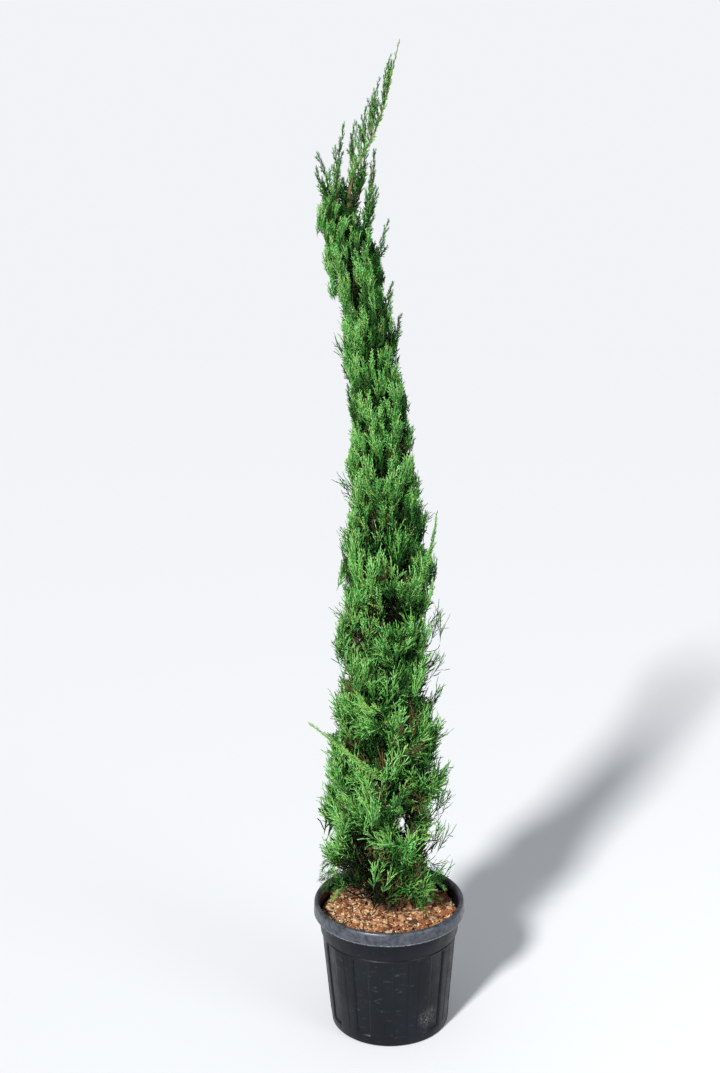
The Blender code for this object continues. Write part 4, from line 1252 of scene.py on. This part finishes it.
# Painted shade: the living inner sprays get the shaded and the deep tints.
living_shaded_tint = np.where(rng.uniform(0, 1, INNER_SPRAYS) < 0.5, TINT["shade"], TINT["deep"])
dead = rng.uniform(0, 1, INNER_SPRAYS) < at_height("dead share", inner_tips[:, 2])
inner_tint = np.where(dead, TINT["bronze"], living_shaded_tint)
# Painted shade: round the pockets the inner sprays are painted near black.
inner_tint[in_hollow(inner_tips, HOLLOW_SHADE_INSIDE)] = TINT["burnt"]
inner_bends = inner_rise * (inner_lengths * 0.1)[:, None]
inner_kind = np.full(INNER_SPRAYS, KIND["inner"])
inner_all = (inner_bases, inner_aims, inner_lengths, inner_bends, inner_kind, inner_tint)
sprays.append(tuple(values[inner_keep] for values in inner_all))
print("inner sprays:", int(inner_keep.sum()))

# %% Core sprays
CORE_SPRAYS, CORE_FOOT, CORE_TOP = 420, 0.86, 2.06

core_heights = rng.uniform(CORE_FOOT, CORE_TOP, CORE_SPRAYS)
core_around = rng.uniform(0, 2 * math.pi, CORE_SPRAYS)
core_out = np.stack([np.cos(core_around), np.sin(core_around), np.zeros(CORE_SPRAYS)], 1)
core_reach = at_height("core reach", core_heights) * rng.uniform(0.35, 1.0, CORE_SPRAYS)
core_tips = trunk_at(core_heights) + core_out * core_reach[:, None]
core_aims = unit(core_out * 0.5 + rise_at(core_heights) + rng.normal(0, 0.3, core_out.shape))
core_lengths = at_height("core length", core_heights)[:, None]
# Painted shade: core sprays get the near-black tint or the shaded one, and near the pockets the near-black
# one.
core_tint = np.where(rng.uniform(0, 1, CORE_SPRAYS) < 0.6, TINT["burnt"], TINT["shade"])
core_tint[in_hollow(core_tips, HOLLOW_SHADE_CORE)] = TINT["burnt"]
core_kind = np.full(CORE_SPRAYS, KIND["inner"])
core_bases = core_tips - core_aims * core_lengths
core_bends = core_out * core_lengths * 0.1
sprays.append((core_bases, core_aims, core_lengths[:, 0], core_bends, core_kind, core_tint))
print("core sprays:", CORE_SPRAYS)

# %% [markdown]
# ## The open top and the long shoots
#
# At the top the leader leans away to the right, nearly bare, with short feathers along it,
# and five upright plumes stand round its foot. Three long shoots escaped the shears lower down.
# Each of these is a stem with short sprays stacked along it, turned in a spiral and shrinking to its tip.

# %% Stack sprays along a stem
STEM_STEPS, STEM_TAPER, LOOK_AHEAD = 8, 0.35, 0.004
stems = []  # points and radii of the fine stems, for the twig mesh


def along_path(path, shares):
    """Points and directions at shares of a path's length, and that length."""
    path = np.asarray(path, float)
    run = np.concatenate([[0], np.cumsum(np.linalg.norm(np.diff(path, axis=0), axis=1))])

    def point_at(distances):
        return np.stack([np.interp(distances, run, path[:, axis]) for axis in range(3)], 1)

    distances = np.asarray(shares) * run[-1]
    ways = unit(point_at(distances + LOOK_AHEAD) - point_at(distances - LOOK_AHEAD))
    return point_at(distances), ways, run[-1]


def stack_sprays(
    path, spacing, first_length, last_length, lean, tint_names, stem_radius,
    start=0.0, kind_name="tip", pull=(0, 0, 0),
):
    """Sprays up a stem, each leaning out from it and pulled one way, and one on the end.

    The stem itself joins the twigs, unless its radius is 0.
    """
    length = along_path(path, [1.0])[2]
    count = max(3, int(length * (1 - start) / spacing))
    shares = start + (1 - start) * (np.arange(count) + rng.uniform(0.2, 0.8, count)) / count
    shares = np.append(shares, 0.97)
    points, ways, _ = along_path(path, shares)
    around = turned_frames(ways, GOLDEN * np.arange(len(shares)) + rng.uniform(0, 6))[:, :, 0]
    leans = np.radians(lean * rng.uniform(0.7, 1.25, len(shares)))
    leans[-1] = 0.02
    spray_aims = ways * np.cos(leans)[:, None] + around * np.sin(leans)[:, None]
    spray_aims = unit(spray_aims + np.array(pull))
    sizes = (first_length + (last_length - first_length) * shares) * rng.uniform(0.8, 1.15, len(shares))
    spray_bends = (ways - spray_aims) * (sizes * 0.35)[:, None]
    tints = rng.choice([TINT[name] for name in tint_names], len(shares))
    sprays.append((points, spray_aims, sizes, spray_bends, np.full(len(shares), KIND[kind_name]), tints))
    if stem_radius:
        stem_points, _, _ = along_path(path, np.linspace(0, 1, STEM_STEPS))
        stems.append((stem_points, np.linspace(stem_radius, stem_radius * STEM_TAPER, STEM_STEPS)))


def path_up(name, steps=7):
    """The middle line of an upright node, from its foot to its tip."""
    corners = corners_of(name)
    points = corners.reshape(-1, 3)
    low, high = points[:, 2].min(), points[:, 2].max()
    end = 0.03 * (high - low)
    inner = [slice_of(corners, height)[0] for height in np.linspace(low + end, high - end, steps)]
    return np.array([inner[0] - (0, 0, end), *inner, points[points[:, 2].argmax()]])


print("stacking helpers ready")

# %% The plumes, the leader and its feathers
PLUMES = sorted(name for name in nodes if name.startswith("plume_"))
INSIDE_BAND = 0.05  # a plume's stem starts this far down in the band, so that the plume grows out of it
for name in PLUMES:
    path = path_up(name)
    on_leader = name.startswith("plume_leader")
    if not on_leader:
        path = np.concatenate([[path[0] - (0, 0, INSIDE_BAND)], path])
    first = 0.022 if name == "plume_leader_high" else 0.032 if on_leader else 0.046
    tints = ["mid", "fresh", "fresh"] if on_leader else ["deep", "mid", "fresh", "fresh"]
    stack_sprays(path, 0.0090, first, first * 0.42, 22, tints, 0.0012)

leader_path = trunk_line[trunk_line[:, 2] > 2.12]
stack_sprays(leader_path, 0.0070, 0.040, 0.008, 26, ["fresh", "fresh", "bright"], 0, pull=(-0.14, 0, 0.04))

FEATHERS, FIRST_FEATHER, FEATHERED = 26, 0.14, 0.66  # first place and run, as shares of the leader
FEATHER_LENGTHS = ([0.14, 0.45, 0.80], [0.078, 0.070, 0.024])
for number in range(FEATHERS):  # short side shoots that turn upright, most of them on the leader's upper side
    share = FIRST_FEATHER + FEATHERED * (number + rng.uniform(0.2, 0.8)) / FEATHERS
    start = along_path(leader_path, [share])[0][0]
    length = np.interp(share, *FEATHER_LENGTHS) * rng.uniform(0.65, 1.15)
    out = np.array([rng.uniform(-0.34, 0.10), rng.uniform(-0.22, 0.22), 0])
    middle = start + length * (np.array([0, 0, 0.42]) + 0.75 * out)
    tip = start + length * (np.array([0.06, 0, 0.97]) + 0.85 * out)
    stack_sprays([start, middle, tip], 0.0085, 0.026, 0.012, 20, ["mid", "fresh", "fresh", "bright"], 0.0008)
print("plumes:", len(PLUMES), "and the leader with", FEATHERS, "feathers")

# %% Upright tips that break the column's edge
# Foot and tip of each.
EDGE_TIPS = [
    ((-0.066, -0.010, 2.120), (-0.040, -0.012, 2.224)), ((-0.056, 0.004, 2.130), (-0.044, 0.010, 2.205)),
    ((-0.050, -0.020, 2.020), (-0.016, -0.014, 2.140)), ((-0.032, -0.022, 1.930), (0.008, -0.012, 2.070)),
    ((-0.008, -0.024, 1.820), (0.018, -0.020, 1.930)), ((-0.040, 0.020, 2.060), (-0.022, 0.026, 2.180)),
    ((-0.118, -0.010, 2.100), (-0.150, -0.004, 2.190)), ((-0.090, 0.045, 1.950), (-0.100, 0.062, 2.080)),
    ((-0.020, 0.050, 1.820), (-0.004, 0.066, 1.940)), ((0.012, 0.010, 1.740), (0.036, 0.012, 1.850)),
    ((-0.080, 0.030, 1.690), (-0.092, 0.052, 1.800)), ((-0.070, -0.040, 1.600), (-0.086, -0.046, 1.690)),
]
for start, tip in EDGE_TIPS:
    stack_sprays([start, tip], 0.0080, 0.052, 0.018, 22, ["deep", "mid", "mid", "fresh"], 0.0014)
print("edge tips:", len(EDGE_TIPS))

# %% Long shoots that escaped the shears
left_tip = corners_of("shoot_left").reshape(-1, 3)
left_tip = left_tip[left_tip[:, 0].argmin()]
SHOOT_LEFT = [
    (-0.007, -0.120, 0.722), (-0.046, -0.138, 0.760), (-0.076, -0.142, 0.788), (-0.107, -0.138, 0.813),
    (-0.144, -0.126, 0.840), (-0.173, -0.112, 0.860), left_tip,
]
SHOOT_RIGHT = [
    (0.056, -0.075, 1.165), (0.070, -0.066, 1.200), (0.084, -0.056, 1.237), (0.097, -0.051, 1.269),
    (0.108, -0.052, 1.302), (0.115, -0.056, 1.335), (0.119, -0.060, 1.362), (0.121, -0.061, 1.390),
]
SHORT_SHOOT = [
    (-0.014, -0.110, 0.898), (-0.032, -0.122, 0.908), (-0.055, -0.122, 0.920), (-0.075, -0.112, 0.948),
]
stack_sprays(SHOOT_LEFT, 0.0058, 0.040, 0.013, 19, ["shoot"], 0.0010)
stack_sprays(SHOOT_RIGHT, 0.0044, 0.046, 0.010, 17, ["fresh", "shoot", "bright"], 0.0013)
stack_sprays(SHORT_SHOOT, 0.0060, 0.042, 0.017, 24, ["shoot"], 0.0013)
print("shoots: three")

# %% [markdown]
# ## Loose ends
#
# Stray tips are long loose sprays that stand clear of the column's outline, each on its own fine stem
# from inside the crown. Tufts droop from the lowest brushes down towards the mulch.
# Last, three short rows of lit sprays frame the large hollow at the front, two below it and one above.

# %% Stray tips that stand clear of the outline
# Where each stray tip ends.
STRAYS = [
    (-0.104, -0.010, 1.790), (-0.106, -0.020, 1.452), (-0.100, -0.020, 1.290), (-0.104, -0.010, 1.200),
    (0.130, -0.015, 1.128), (0.136, -0.020, 1.006), (0.130, -0.025, 0.918), (0.142, -0.040, 0.560),
    (0.146, -0.050, 0.462), (0.150, -0.030, 0.640), (-0.126, -0.030, 1.045), (-0.120, -0.020, 1.110),
]
RANDOM_STRAYS = 40  # tries for the back and the sides. At the front, too high or too low none is grown
STRAY_SPRAYS, STRAY_SPREAD, STRAY_LENGTHS = 4, 0.007, (0.055, 0.085)
STRAY_REACH, STRAY_RISE = 0.082, 0.112  # a stray's stems start this far inside its tip, and this far below it
LEAVING, JOINING = 0.016, 0.032  # how far a stem keeps its first way, and its spray's way
STRAY_STEM = (0.0012, 0.0008, 9)  # first and last radius, and points along it


def curved_path(root, leaving, joining, end, steps):
    """A smooth curve from root to end, which sets off towards one point and arrives from another."""
    out = np.linspace(0, 1, steps)[:, None]
    back = 1 - out
    return back**3 * root + 3 * back**2 * out * leaving + 3 * back * out**2 * joining + out**3 * end


def stray_tip(tip):
    """A few long loose sprays that end near one point outside the outline, each on its own stem."""
    way = outward_at(np.array([tip]))
    ends = np.array(tip) + rng.normal(0, STRAY_SPREAD, (STRAY_SPRAYS, 3))
    ways = way * rng.uniform(0.4, 0.9) + np.array([[0, 0, rng.uniform(0.35, 0.9)]])
    ways = unit(ways + rng.normal(0, 0.14, (STRAY_SPRAYS, 3)))
    sizes = rng.uniform(*STRAY_LENGTHS, STRAY_SPRAYS)
    curve = np.array([[0, 0, 0.2]]) * sizes[:, None]
    kinds = np.full(STRAY_SPRAYS, KIND["wisp"])
    tints = rng.choice([TINT["deep"], TINT["mid"], TINT["mid"]], STRAY_SPRAYS)
    feet = ends - ways * sizes[:, None]
    sprays.append((feet, ways, sizes, curve, kinds, tints))
    first_radius, last_radius, steps = STRAY_STEM
    root = np.array(tip) - way[0] * STRAY_REACH - (0, 0, STRAY_RISE)
    leaving = root + way[0] * LEAVING + (0, 0, LEAVING)
    for end, spray_way in zip(feet, ways):
        path = curved_path(root, leaving, end - spray_way * JOINING, end, steps)
        stems.append((path, np.linspace(first_radius, last_radius, steps)))


for _ in range(RANDOM_STRAYS):
    sample = surface_points[rng.integers(len(surface_points))]
    way = outward_at(sample[None])[0]
    if 0.5 < sample[2] < 1.75 and way[1] > -0.35:
        STRAYS.append(tuple(sample + way * rng.uniform(0.006, 0.018) + (0, 0, 0.015)))
for tip in STRAYS:
    stray_tip(tip)
print("stray tips:", len(STRAYS))

# %% Tufts at the foot
# Where each drooping tuft ends near the mulch, and its tint.
FOOT_TUFTS = [
    ((-0.146, 0.020, 0.356), "shoot"), ((-0.140, 0.045, 0.352), "mid"), ((0.124, -0.030, 0.398), "fresh"),
    ((0.114, -0.050, 0.372), "fresh"), ((0.100, -0.068, 0.376), "bright"), ((0.128, -0.005, 0.410), "mid"),
    ((0.076, -0.086, 0.366), "fresh"), ((0.110, 0.030, 0.386), "mid"), ((0.050, 0.105, 0.366), "mid"),
    ((-0.060, 0.110, 0.366), "deep"), ((-0.158, -0.020, 0.402), "mid"), ((-0.148, -0.052, 0.408), "deep"),
    ((-0.162, 0.012, 0.398), "mid"), ((-0.164, -0.004, 0.440), "fresh"),
]
TUFT_COPIES = 2
for tip, tint_name in FOOT_TUFTS:
    tints = [tint_name, tint_name, "deep"]
    for _ in range(TUFT_COPIES):
        end = np.array(tip) + rng.normal(0, 0.010, 3) * (1, 1, 0.8)
        way = outward_at(end[None])[0]
        start = end - way * rng.uniform(0.045, 0.065) + np.array((0, 0, rng.uniform(0.030, 0.055)))
        path = [start, (start + end) / 2 + np.array((0, 0, 0.010)), end]
        stack_sprays(path, 0.011, 0.034, 0.022, 24, tints, 0.0010, start=0.2, kind_name="arching")
print("foot tufts:", len(FOOT_TUFTS) * TUFT_COPIES)

# %% Sprays round the large hollow
# For each row: the middle of its tips, how much higher its ends stand, and how many sprays it has.
HOLLOW_ROWS = [
    ((0.014, -0.132, 1.128), 0.016, 9),
    ((0.022, -0.136, 1.090), 0.010, 6),
    ((0.008, -0.112, 1.238), -0.020, 8),
]
ROW_SPAN, ROW_DEPTH, ROW_WAY, ROW_FAN, ROW_LIFT = 0.080, 0.012, (0, -0.38, 0.86), 0.5, 0.05
row_rng = np.random.default_rng(5)
for middle, end_rise, count in HOLLOW_ROWS:
    aside = np.linspace(-0.5, 0.5, count)
    row = np.stack([aside * ROW_SPAN, np.abs(aside) * ROW_DEPTH, aside**2 * 4 * end_rise], 1)
    ends = np.array(middle) + row + row_rng.normal(0, 0.004, row.shape)
    ways = np.array(ROW_WAY) + np.stack([aside * ROW_FAN, 0 * aside, 0 * aside], 1)
    ways = unit(ways + row_rng.normal(0, 0.10, ends.shape))
    sizes = row_rng.uniform(0.054, 0.068, count)
    kinds = row_rng.choice([KIND["upright"], KIND["brush"]], count)
    tints = row_rng.choice([TINT["mid"], TINT["fresh"], TINT["bright"]], count)
    grown_way = ways * sizes[:, None]
    sprays.append((ends - grown_way, ways, sizes, grown_way * ROW_LIFT, kinds, tints))
print("sprays round the hollow:", sum(count for _, _, count in HOLLOW_ROWS))

# %% [markdown]
# ## Boughs, branches and twigs
#
# Under the green the plant is a tree like any other. Each measured bough leaves the trunk and enters
# its mass. There it divides into one branch for every brush, which winds round inside the mass to the
# brush's heart, and a twig runs from the branch into every spray of the brush.
# They show in the pockets and from below. In the pockets and along the seam their bark is painted near black,
# as painted shade.

# %% Tubes along paths
def tubes(paths, radii, sides):
    """Joined tapering tubes with closed ends, along paths of (count, steps, 3).

    Radii are (count, steps), or (count, steps, sides) for tubes that aren't round.
    """
    count, steps = paths.shape[:2]
    along = unit(np.gradient(paths, axis=1))
    whole = unit(paths[:, -1] - paths[:, 0])
    helper = np.where(np.abs(whole[:, 2:]) > 0.8, np.array([[1.0, 0, 0]]), np.array([[0, 0, 1.0]]))
    across = unit(np.cross(along, helper[:, None]))
    other = np.cross(along, across)
    angles = 2 * math.pi * np.arange(sides) / sides
    spread = radii if radii.ndim == 3 else np.repeat(radii[:, :, None], sides, 2)
    ring = across[:, :, None] * np.cos(angles)[:, None] + other[:, :, None] * np.sin(angles)[:, None]
    points = paths[:, :, None] + ring * spread[..., None]
    side = np.arange(sides)
    following = (side + 1) % sides
    strips = []
    for step in range(steps - 1):
        low, high = step * sides, (step + 1) * sides
        strips.append(np.stack([low + side, low + following, high + following], 1))
        strips.append(np.stack([low + side, high + following, high + side], 1))
    fan = np.arange(1, sides - 1)
    last = (steps - 1) * sides
    strips.append(np.stack([np.zeros_like(fan), fan + 1, fan], 1))
    strips.append(np.stack([np.full_like(fan, last), last + fan, last + fan + 1], 1))
    return repeated(points, np.concatenate(strips))


def wound_path(start, end, steps, sag):
    """From one point to another round the trunk: bearing, reach and height change together."""
    first, last = start - trunk_at(start[2])[0], end - trunk_at(end[2])[0]
    turn = math.atan2(last[1], last[0]) - math.atan2(first[1], first[0])
    turn = (turn + math.pi) % (2 * math.pi) - math.pi
    shares = np.linspace(0, 1, steps)
    bearings = math.atan2(first[1], first[0]) + turn * shares
    reaches = np.hypot(*first[:2]) + (np.hypot(*last[:2]) - np.hypot(*first[:2])) * shares**0.8
    heights = start[2] + (end[2] - start[2]) * shares - sag * 4 * shares * (1 - shares)
    path = trunk_at(heights)
    path[:, 0] += reaches * np.cos(bearings)
    path[:, 1] += reaches * np.sin(bearings)
    return path


print("tube helpers ready")

# %% Boughs
BOUGHS = sorted(name for name in nodes if name.startswith("bough_"))
BOUGH_STEPS, BOUGH_SIDES, BOUGH_TAPER = 12, 10, ([0, 0.6, 1], [2.0, 1.0, 0.25])
NEAR_END, FAR_END = 0.006, 0.004  # how much of a bough's length counts as its inner and its outer end
BOUGH_START, BOUGH_ON = 0.012, 0.10  # it leaves the trunk this far below its end, and runs on by this share
ROUGH_ROUND, ROUGH_ALONG = 0.16, 0.07
bough_shares = np.linspace(0, 1, BOUGH_STEPS)
bough_paths, bough_radii, bough_ends = [], [], []
for name in BOUGHS:
    points = corners_of(name).reshape(-1, 3)
    away = reach_of(points)
    tip_points = points[away > away.max() - FAR_END]
    near, far = points[away < away.min() + NEAR_END].mean(0), tip_points.mean(0)
    root = trunk_at(near[2] - BOUGH_START)[0]
    line = np.array([root, near, (near + far) * 0.5, far, far + (far - near) * BOUGH_ON])
    radius = float(np.ptp(tip_points, axis=0)[:2].max()) / 2
    bough_paths.append(along_path(line, bough_shares)[0])
    bough_radii.append(radius * np.interp(bough_shares, *BOUGH_TAPER))
    bough_ends.append(far)
ridges = 1 + ROUGH_ROUND * rng.normal(0, 1, (len(BOUGHS), 1, BOUGH_SIDES))
ridges = ridges + ROUGH_ALONG * rng.normal(0, 1, (len(BOUGHS), BOUGH_STEPS, BOUGH_SIDES))
points, triangles = tubes(np.array(bough_paths), np.array(bough_radii)[:, :, None] * ridges, BOUGH_SIDES)
boughs = joined_piece("boughs", points, triangles, twig_bark, "bark")
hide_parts(*BOUGHS)
print("boughs:", len(BOUGHS))

# %% Branches to the hearts, and a twig to every spray of the brushes
BRANCH_STEPS, BRANCH_SIDES, BRANCH_SAG, BRANCH_WANDER, BRANCH_TAPER = 9, 5, 0.006, 0.0018, 0.5
TWIG_STEPS, TWIG_SIDES, TWIG_SAG, TWIG_RADII = 5, 3, 0.006, (0.0014, 0.0008)
TWIG_END = 0.55  # a twig runs on inside its spray, to this share of it
LOWEST_HEART, LOWEST_BRANCH = 0.372, 0.352
SHADED_WOOD_MARGIN = 0.030  # this close to a pocket the wood gets the near-black bark: painted shade

drop = rise_at(heart_points[:, 2]) * at_height("heart drop", heart_points[:, 2])[:, None]
heart_places = heart_points - outward_at(heart_points) * heart_depth(heart_points) - drop
heart_places[:, 2] = np.maximum(heart_places[:, 2], LOWEST_HEART)
branch_paths = []
for mass, place in zip(heart_mass, heart_places):
    branch_paths.append(wound_path(bough_ends[mass], place, BRANCH_STEPS, BRANCH_SAG))
branch_paths = np.array(branch_paths)
branch_paths[:, 1:-1] += rng.normal(0, BRANCH_WANDER, branch_paths[:, 1:-1].shape)
branch_paths[:, :, 2] = np.maximum(branch_paths[:, :, 2], LOWEST_BRANCH)
thick = at_height("branch radius", heart_places[:, 2])
branch_radii = thick[:, None] * np.linspace(1, BRANCH_TAPER, BRANCH_STEPS)[None]
branch_in_shade = in_hollow(branch_paths[:, 6], SHADED_WOOD_MARGIN) | in_seam(branch_paths[:, 6])

spray_feet, spray_ways, spray_sizes = sprays[0][:3]
starts = branch_paths[spray_heart, rng.integers(5, BRANCH_STEPS, len(spray_feet))][:, None]
shares = np.linspace(0, 1, TWIG_STEPS)[None, :, None]
sag = np.array([0, 0, -TWIG_SAG]) * 4 * shares * (1 - shares)
twig_ends = points_along(spray_feet, spray_ways, spray_sizes, TWIG_END)[:, None]
twig_paths = starts + (twig_ends - starts) * shares + sag
twig_radii = np.linspace(*TWIG_RADII, TWIG_STEPS)[None] * rng.uniform(0.8, 1.2, (len(spray_feet), 1))
twig_in_shade = in_hollow(twig_paths[:, 2], SHADED_WOOD_MARGIN) | in_seam(twig_paths[:, 3])
shaded_wood_parts = [
    tubes(branch_paths[branch_in_shade], branch_radii[branch_in_shade], BRANCH_SIDES),
    tubes(twig_paths[twig_in_shade], twig_radii[twig_in_shade], TWIG_SIDES),
]
twig_parts = [tubes(twig_paths[~twig_in_shade], twig_radii[~twig_in_shade], TWIG_SIDES)]
twig_parts += [tubes(path[None], radii[None], TWIG_SIDES + 1) for path, radii in stems]
branches = tubes(branch_paths[~branch_in_shade], branch_radii[~branch_in_shade], BRANCH_SIDES)
joined_piece("branches", *branches, twig_bark, "bark")
joined_piece("twigs", *stacked(twig_parts), twig_bark, "bark")
joined_piece("branches_in_painted_shade", *stacked(shaded_wood_parts), painted_shade_bark, "bark")
print("branches:", len(branch_paths), "twigs:", len(twig_paths) + len(stems))

# %% [markdown]
# ## Grow the green
#
# Every spray is now known: its foot, its way, its length, how it bends, its kind and its tint.
# They are made tint by tint and in four zones of height, so that each mesh stays small enough to handle.
# Each of those pieces stands for the plain masses, plumes and shoots of its own zone.

# %% Place all the sprays
bases, aims, lengths, bends, kind, tint = (np.concatenate(values) for values in zip(*sprays))
variant = rng.integers(0, VARIANTS, len(bases))
one_step_darker = np.array([TINT[TINT_ONE_STEP_DARKER[name]] for name in TINT])
# A spray's core takes its tint two steps darker, as painted shade. Its dull side twigs take one step.
part_tints = {"clear": tint, "dull": one_step_darker[tint], "core": one_step_darker[one_step_darker[tint]]}
frames = turned_frames(unit(aims), rng.uniform(0, 2 * math.pi, len(bases)))
BEND_REACH = 1.2  # a spray bends on past its own length up to this share


def grown(chosen, part):
    """That part of the chosen sprays as meshes: each template turned, scaled and bent for its copies."""
    grown_parts = []
    for kind_name, kind_number in KIND.items():
        for number, template in enumerate(SPRAYS[kind_name]):
            points, triangles = template[part]
            picked = np.nonzero(chosen & (kind == kind_number) & (variant == number))[0]
            if len(picked) == 0:
                continue
            moved = np.einsum("nij,vj->nvi", frames[picked] * lengths[picked, None, None], points)
            bent = (np.clip(points[:, 2], 0, BEND_REACH) ** 2)[None, :, None]
            moved += bases[picked, None] + bends[picked, None] * bent
            grown_parts.append(repeated(moved, triangles))
    return grown_parts


print("sprays to grow:", len(bases))

# %% Grow them tint by tint in four zones
ZONES = {"low": (0.0, 0.68), "waist": (0.68, 1.02), "middle": (1.02, 1.50), "high": (1.50, 3.0)}


def zone_of(height):
    """The name of the zone that a height lies in."""
    return next(zone for zone, (low, high) in ZONES.items() if low <= height < high)


node_zones = {name: zone_of(sum(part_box(name), Vector()).z / 2) for name in MASSES + PLUMES}
node_zones["shoot_left"], node_zones["shoot_right"] = "waist", "middle"
leaf_triangles = 0
for zone, (low, high) in ZONES.items():
    in_zone = (bases[:, 2] >= low) & (bases[:, 2] < high)
    stood_for = sorted(name for name, node_zone in node_zones.items() if node_zone == zone)
    for tint_name, tint_number in TINT.items():
        green = []
        for part, tints in part_tints.items():
            green += grown(in_zone & (tints == tint_number), part)
        if not green:
            continue
        points, triangles = stacked(green)
        slot = "fresh_growth" if tint_name == "shoot" else "foliage"
        piece = joined_piece("sprays_" + zone + "_" + tint_name, points, triangles, LEAVES[tint_name], slot)
        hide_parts(*stood_for)
        leaf_triangles += len(triangles)
        print("sprays", zone, tint_name, len(triangles), "triangles")
print("leaf triangles in all:", leaf_triangles)
